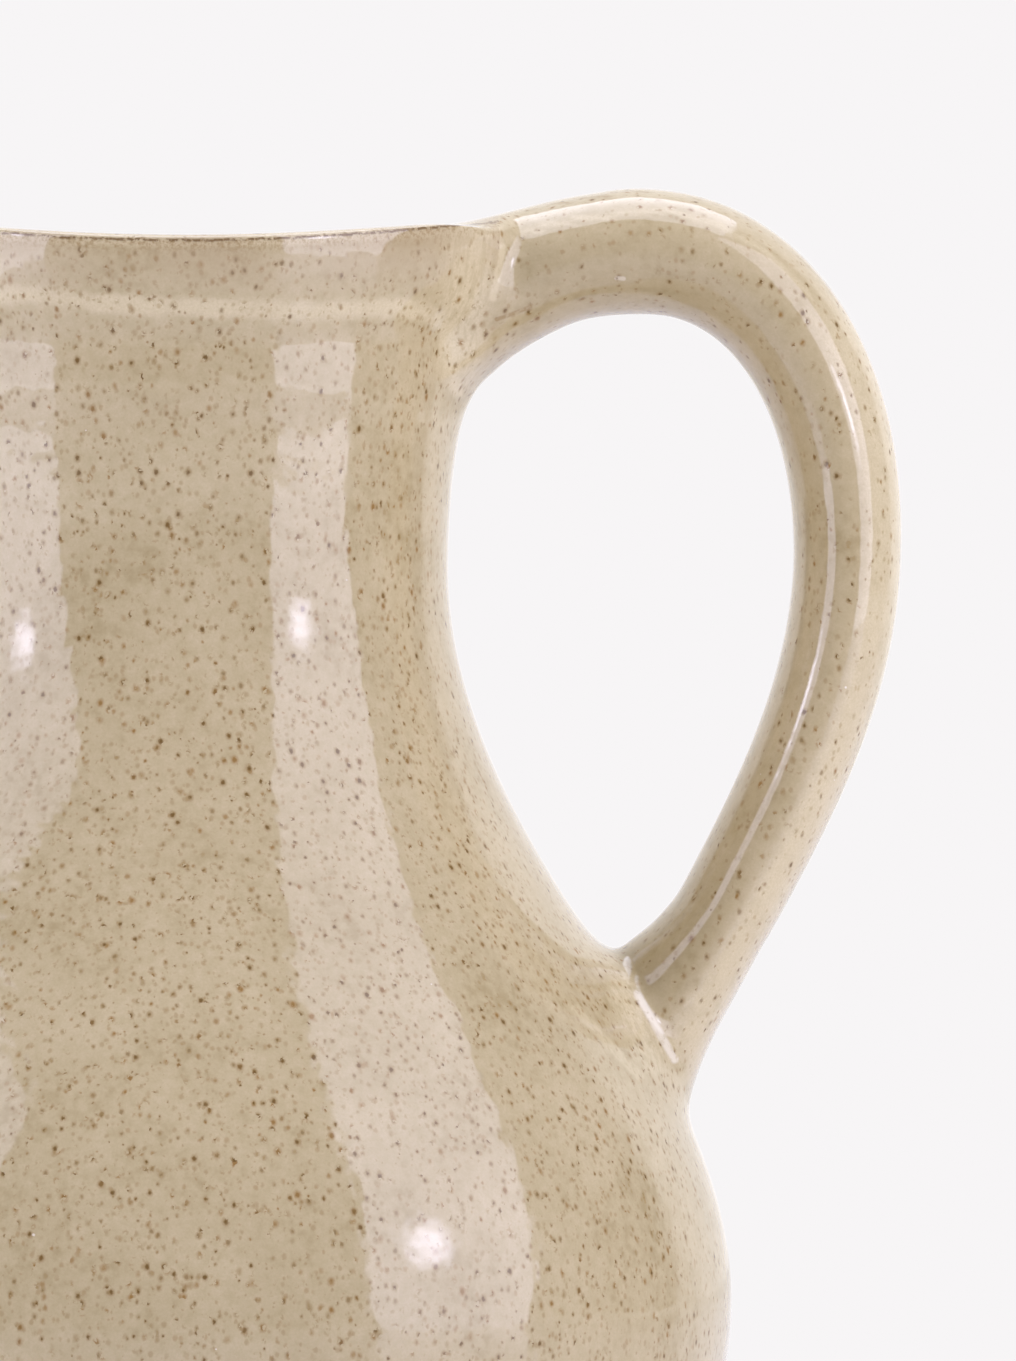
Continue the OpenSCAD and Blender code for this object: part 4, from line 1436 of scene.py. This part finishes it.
shader.inputs["Roughness"].default_value = CLAY_ROUGHNESS
for piece in (clay, strap_clay):
    piece.data.materials.clear()
    piece.data.materials.append(clay_stuff)
print("Clay pieces:", clay.name, strap_clay.name)

# %% [markdown]
# ## Camera
# The photo is taken level, from far off, at about the height of the neck's middle. So the far and the near
# part of the rim nearly fall in one line. The jug's left part and its foot lie outside the picture.

# %% Place the camera
FAR_OFF = 1.4
LENS = 274.4
CAMERA_X, CAMERA_Z = 45 * MM, 139.7 * MM
camera = bpy.data.cameras.new("camera")
camera.lens = LENS
camera_object = bpy.data.objects.new("camera", camera)
bpy.context.scene.collection.objects.link(camera_object)
camera_object.location = (CAMERA_X, -FAR_OFF, CAMERA_Z)
camera_object.rotation_euler = (math.radians(90), 0, 0)
bpy.context.scene.camera = camera_object
print("Camera", FAR_OFF, "m away with a lens of", LENS, "mm")

# %% [markdown]
# ## Lamps
# The glaze mirrors two tall softboxes in front, one to each side, as bright upright bands, and a wide one
# overhead as the bright line along the top of the handle. Each stands at the direction found from where
# its reflection lies on the round neck. The two in front lean towards the jug and roll a little, as boxes
# on stands do. The band shows rounded corners, a small hot spot where the lamp inside stands, and a dimmer
# top, so the lamp's shader fades each of them in from its place on the box.

# %% A softbox with rounded corners and a glow
GLOW_EDGE = 0.15
CORNER_R, CORNER_SOFT = 0.16, 0.03
DIM_FROM = 0.35
BOX_MIDDLE = (0.5, 0.5)


def softbox(name, place, angles, size, light, glow, glow_at, top_dim):
    """A softbox with its light, and a brighter glow where the lamp inside stands, at shares of its size."""
    lamp = bpy.data.lights.new(name, "AREA")
    lamp.shape = "RECTANGLE"
    lamp.size, lamp.size_y = size
    radiance = max(light)
    lamp.energy = radiance * math.pi * lamp.size * lamp.size_y
    lamp.color = [channel / radiance for channel in light]
    lamp.use_nodes = True
    tree = lamp.node_tree
    tree.nodes.clear()
    across = add(tree, "ShaderNodeNewGeometry").outputs["Parametric"]
    from_glow, from_middle = (
        vector_maths(tree, "MULTIPLY", vector_maths(tree, "SUBTRACT", across, (*at, 0.0)), (*size, 0.0))
        for at in (glow_at, BOX_MIDDLE))
    glowing = ramp(tree, vector_maths(tree, "LENGTH", from_glow), 0.0, GLOW_EDGE, 1.0 + glow, 1.0)
    straight = (size[0] / 2 - CORNER_R, size[1] / 2 - CORNER_R, 0.0)
    corner = vector_maths(tree, "SUBTRACT", vector_maths(tree, "ABSOLUTE", from_middle), straight)
    corner = vector_maths(tree, "MAXIMUM", corner, (0.0, 0.0, 0.0))
    rounded = ramp(tree, vector_maths(tree, "LENGTH", corner), CORNER_R - CORNER_SOFT, CORNER_R, 1.0, 0.0)
    dimmed = ramp(tree, axis_of(tree, across, "Y"), DIM_FROM, 1.0, 1.0, top_dim)
    strength = times(tree, glowing, dimmed, rounded)
    emission = add(tree, "ShaderNodeEmission", {"Strength": strength}).outputs[0]
    add(tree, "ShaderNodeOutputLight", {"Surface": emission})
    stand = bpy.data.objects.new(name, lamp)
    bpy.context.scene.collection.objects.link(stand)
    stand.location = place
    stand.rotation_euler = [math.radians(angle) for angle in angles]


print("Softboxes have corners of", CORNER_R, "m and a glow of", GLOW_EDGE, "m")

# %% [markdown]
# ## Where the softboxes stand
# A box in front is given by its angle round the jug, its lean and roll, its lower end, its height, and the
# place of its glow. The overhead one hangs level, a little behind the jug.

# %% Place the softboxes
BOX_LIGHT = (3.18, 3.12, 3.88)
OVERHEAD_LIGHT = (2.60, 2.68, 3.28)
OVERHEAD_PLACE, OVERHEAD_SIZE = (0.085, 0.42, 1.5), (1.27, 1.56)
BOX_AWAY = 1.2
BOX_WIDE = 0.77
BOX_GLOW = 3.0
BOX_TOP_DIM = 0.62
BOXES = [
    ("softbox_right", 57.9, 21.5, 9.4, -0.08, 1.48, (0.34, 0.40)),
    ("softbox_left", -65, 17, 5, -0.08, 1.28, (0.5, 0.46)),
]
for name, turn, lean, roll, low, tall, (glow_across, glow_z) in BOXES:
    turn_by, lean_by, roll_by = (math.radians(angle) for angle in (turn, lean, roll))
    outwards = Vector((math.sin(turn_by), -math.cos(turn_by), 0))
    along = Vector((math.cos(turn_by), math.sin(turn_by), 0))
    upwards = (Vector((0, 0, 1)) * math.cos(lean_by) - outwards * math.sin(lean_by)) * math.cos(roll_by)
    upwards += along * math.sin(roll_by)
    middle = outwards * BOX_AWAY + upwards * (low + tall / 2)
    glow_at = (glow_across, (glow_z / upwards.z - low) / tall)
    size = (BOX_WIDE, tall)
    softbox(name, middle, (90 - lean, roll, turn), size, BOX_LIGHT, BOX_GLOW, glow_at, BOX_TOP_DIM)
softbox("softbox_overhead", OVERHEAD_PLACE, (0, 0, 0), OVERHEAD_SIZE, OVERHEAD_LIGHT, 0.0, BOX_MIDDLE, 1.0)

# %% [markdown]
# ## White surroundings
# Behind the jug stands a plain white sweep, which the camera sees and which the glaze mirrors at its
# outlines. The rest of the room is dim. The world's shader draws both: the sweep is where the direction
# points behind the jug and not too far up, and the camera sees white everywhere.

# %% Set the world to a white sweep in a dim room
SWEEP_WHITE = (0.930, 0.913, 0.921, 1.0)
ROOM_GREY = 0.20
SWEEP_FILL = 1.0
SWEEP_MIRRORED = 1.2
SWEEP_SIDE, SWEEP_TOP = (0.57, 0.70), (0.82, 0.95)


def ray_kinds(tree):
    """Whether the camera sees the place, and whether a mirroring or glassy surface does."""
    rays = add(tree, "ShaderNodeLightPath").outputs
    return rays["Is Camera Ray"], maths(tree, "MAXIMUM", rays["Is Glossy Ray"], rays["Is Transmission Ray"])


world = bpy.data.worlds.new("white_sweep")
bpy.context.scene.world = world
world.use_nodes = True
tree = world.node_tree
tree.nodes.clear()
seen, mirrored = ray_kinds(tree)
way = add(tree, "ShaderNodeTexCoord").outputs["Generated"]
level = vector_maths(tree, "NORMALIZE", vector_maths(tree, "MULTIPLY", way, (1.0, 1.0, 0.0)))
behind = ramp(tree, axis_of(tree, level, "Y"), *SWEEP_SIDE)
sweep = times(tree, behind, ramp(tree, axis_of(tree, way, "Z"), *SWEEP_TOP, 1.0, 0.0))
white = maths(tree, "MULTIPLY_ADD", mirrored, SWEEP_MIRRORED - SWEEP_FILL, SWEEP_FILL)
room = maths(tree, "MULTIPLY_ADD", sweep, maths(tree, "SUBTRACT", white, ROOM_GREY), ROOM_GREY)
strength = maths(tree, "MAXIMUM", room, seen)
sky = add(tree, "ShaderNodeBackground", {"Color": SWEEP_WHITE, "Strength": strength}).outputs[0]
add(tree, "ShaderNodeOutputWorld", {"Surface": sky})
print("World:", world.name)

# %% [markdown]
# ## The floor
# The floor is white too and keeps the jug's shadow. To the camera it is matt, as paper is. Where the glaze
# mirrors it, it is polished, which gives the lower half of the jug its bright reflections. Farther away it
# runs into the white of the sweep, sooner for the camera than for the glaze.

# %% Lay the floor
FLOOR_SIZE = 3
CAMERA_FADE, MIRROR_FADE = (0.32, 0.6), (0.9, 1.4)
POLISHED = ((0.80, 0.79, 0.795, 1.0), 0.04)
MATT = ((0.70, 0.70, 0.605, 1.0), 0.7)
bpy.ops.mesh.primitive_plane_add(size=FLOOR_SIZE, location=(0, 0, 0))
floor = bpy.context.active_object
floor.name = "floor"
floor_stuff = bpy.data.materials.new("white_floor")
floor.data.materials.append(floor_stuff)
floor_stuff.use_nodes = True
tree = floor_stuff.node_tree
tree.nodes.clear()
away = vector_maths(tree, "LENGTH", add(tree, "ShaderNodeTexCoord").outputs["Object"])
seen, mirrored = ray_kinds(tree)
plain_seen = times(tree, seen, ramp(tree, away, *CAMERA_FADE))
plain_mirrored = times(tree, mirrored, ramp(tree, away, *MIRROR_FADE))
polished, matt = (
    add(tree, "ShaderNodeBsdfPrincipled", {"Base Color": hue, "Roughness": roughness}).outputs[0]
    for hue, roughness in (POLISHED, MATT))
paper = add(tree, "ShaderNodeMixShader", {0: seen, 1: polished, 2: matt}).outputs[0]
plain = add(tree, "ShaderNodeEmission", {"Color": SWEEP_WHITE, "Strength": 1.0}).outputs[0]
plain_share = maths(tree, "MAXIMUM", plain_seen, plain_mirrored)
mixed = add(tree, "ShaderNodeMixShader", {0: plain_share, 1: paper, 2: plain}).outputs[0]
add(tree, "ShaderNodeOutputMaterial", {"Surface": mixed})
floor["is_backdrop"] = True
bpy.context.scene.view_settings.view_transform = "Standard"
print("Floor staged")

# %% [markdown]
# ## Last measurements
# The finished jug's visual box is measured.

# %% Print the sizes and finish
low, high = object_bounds()
print("Visual box in mm:", [round(c / MM, 2) for c in (*low, *high)])
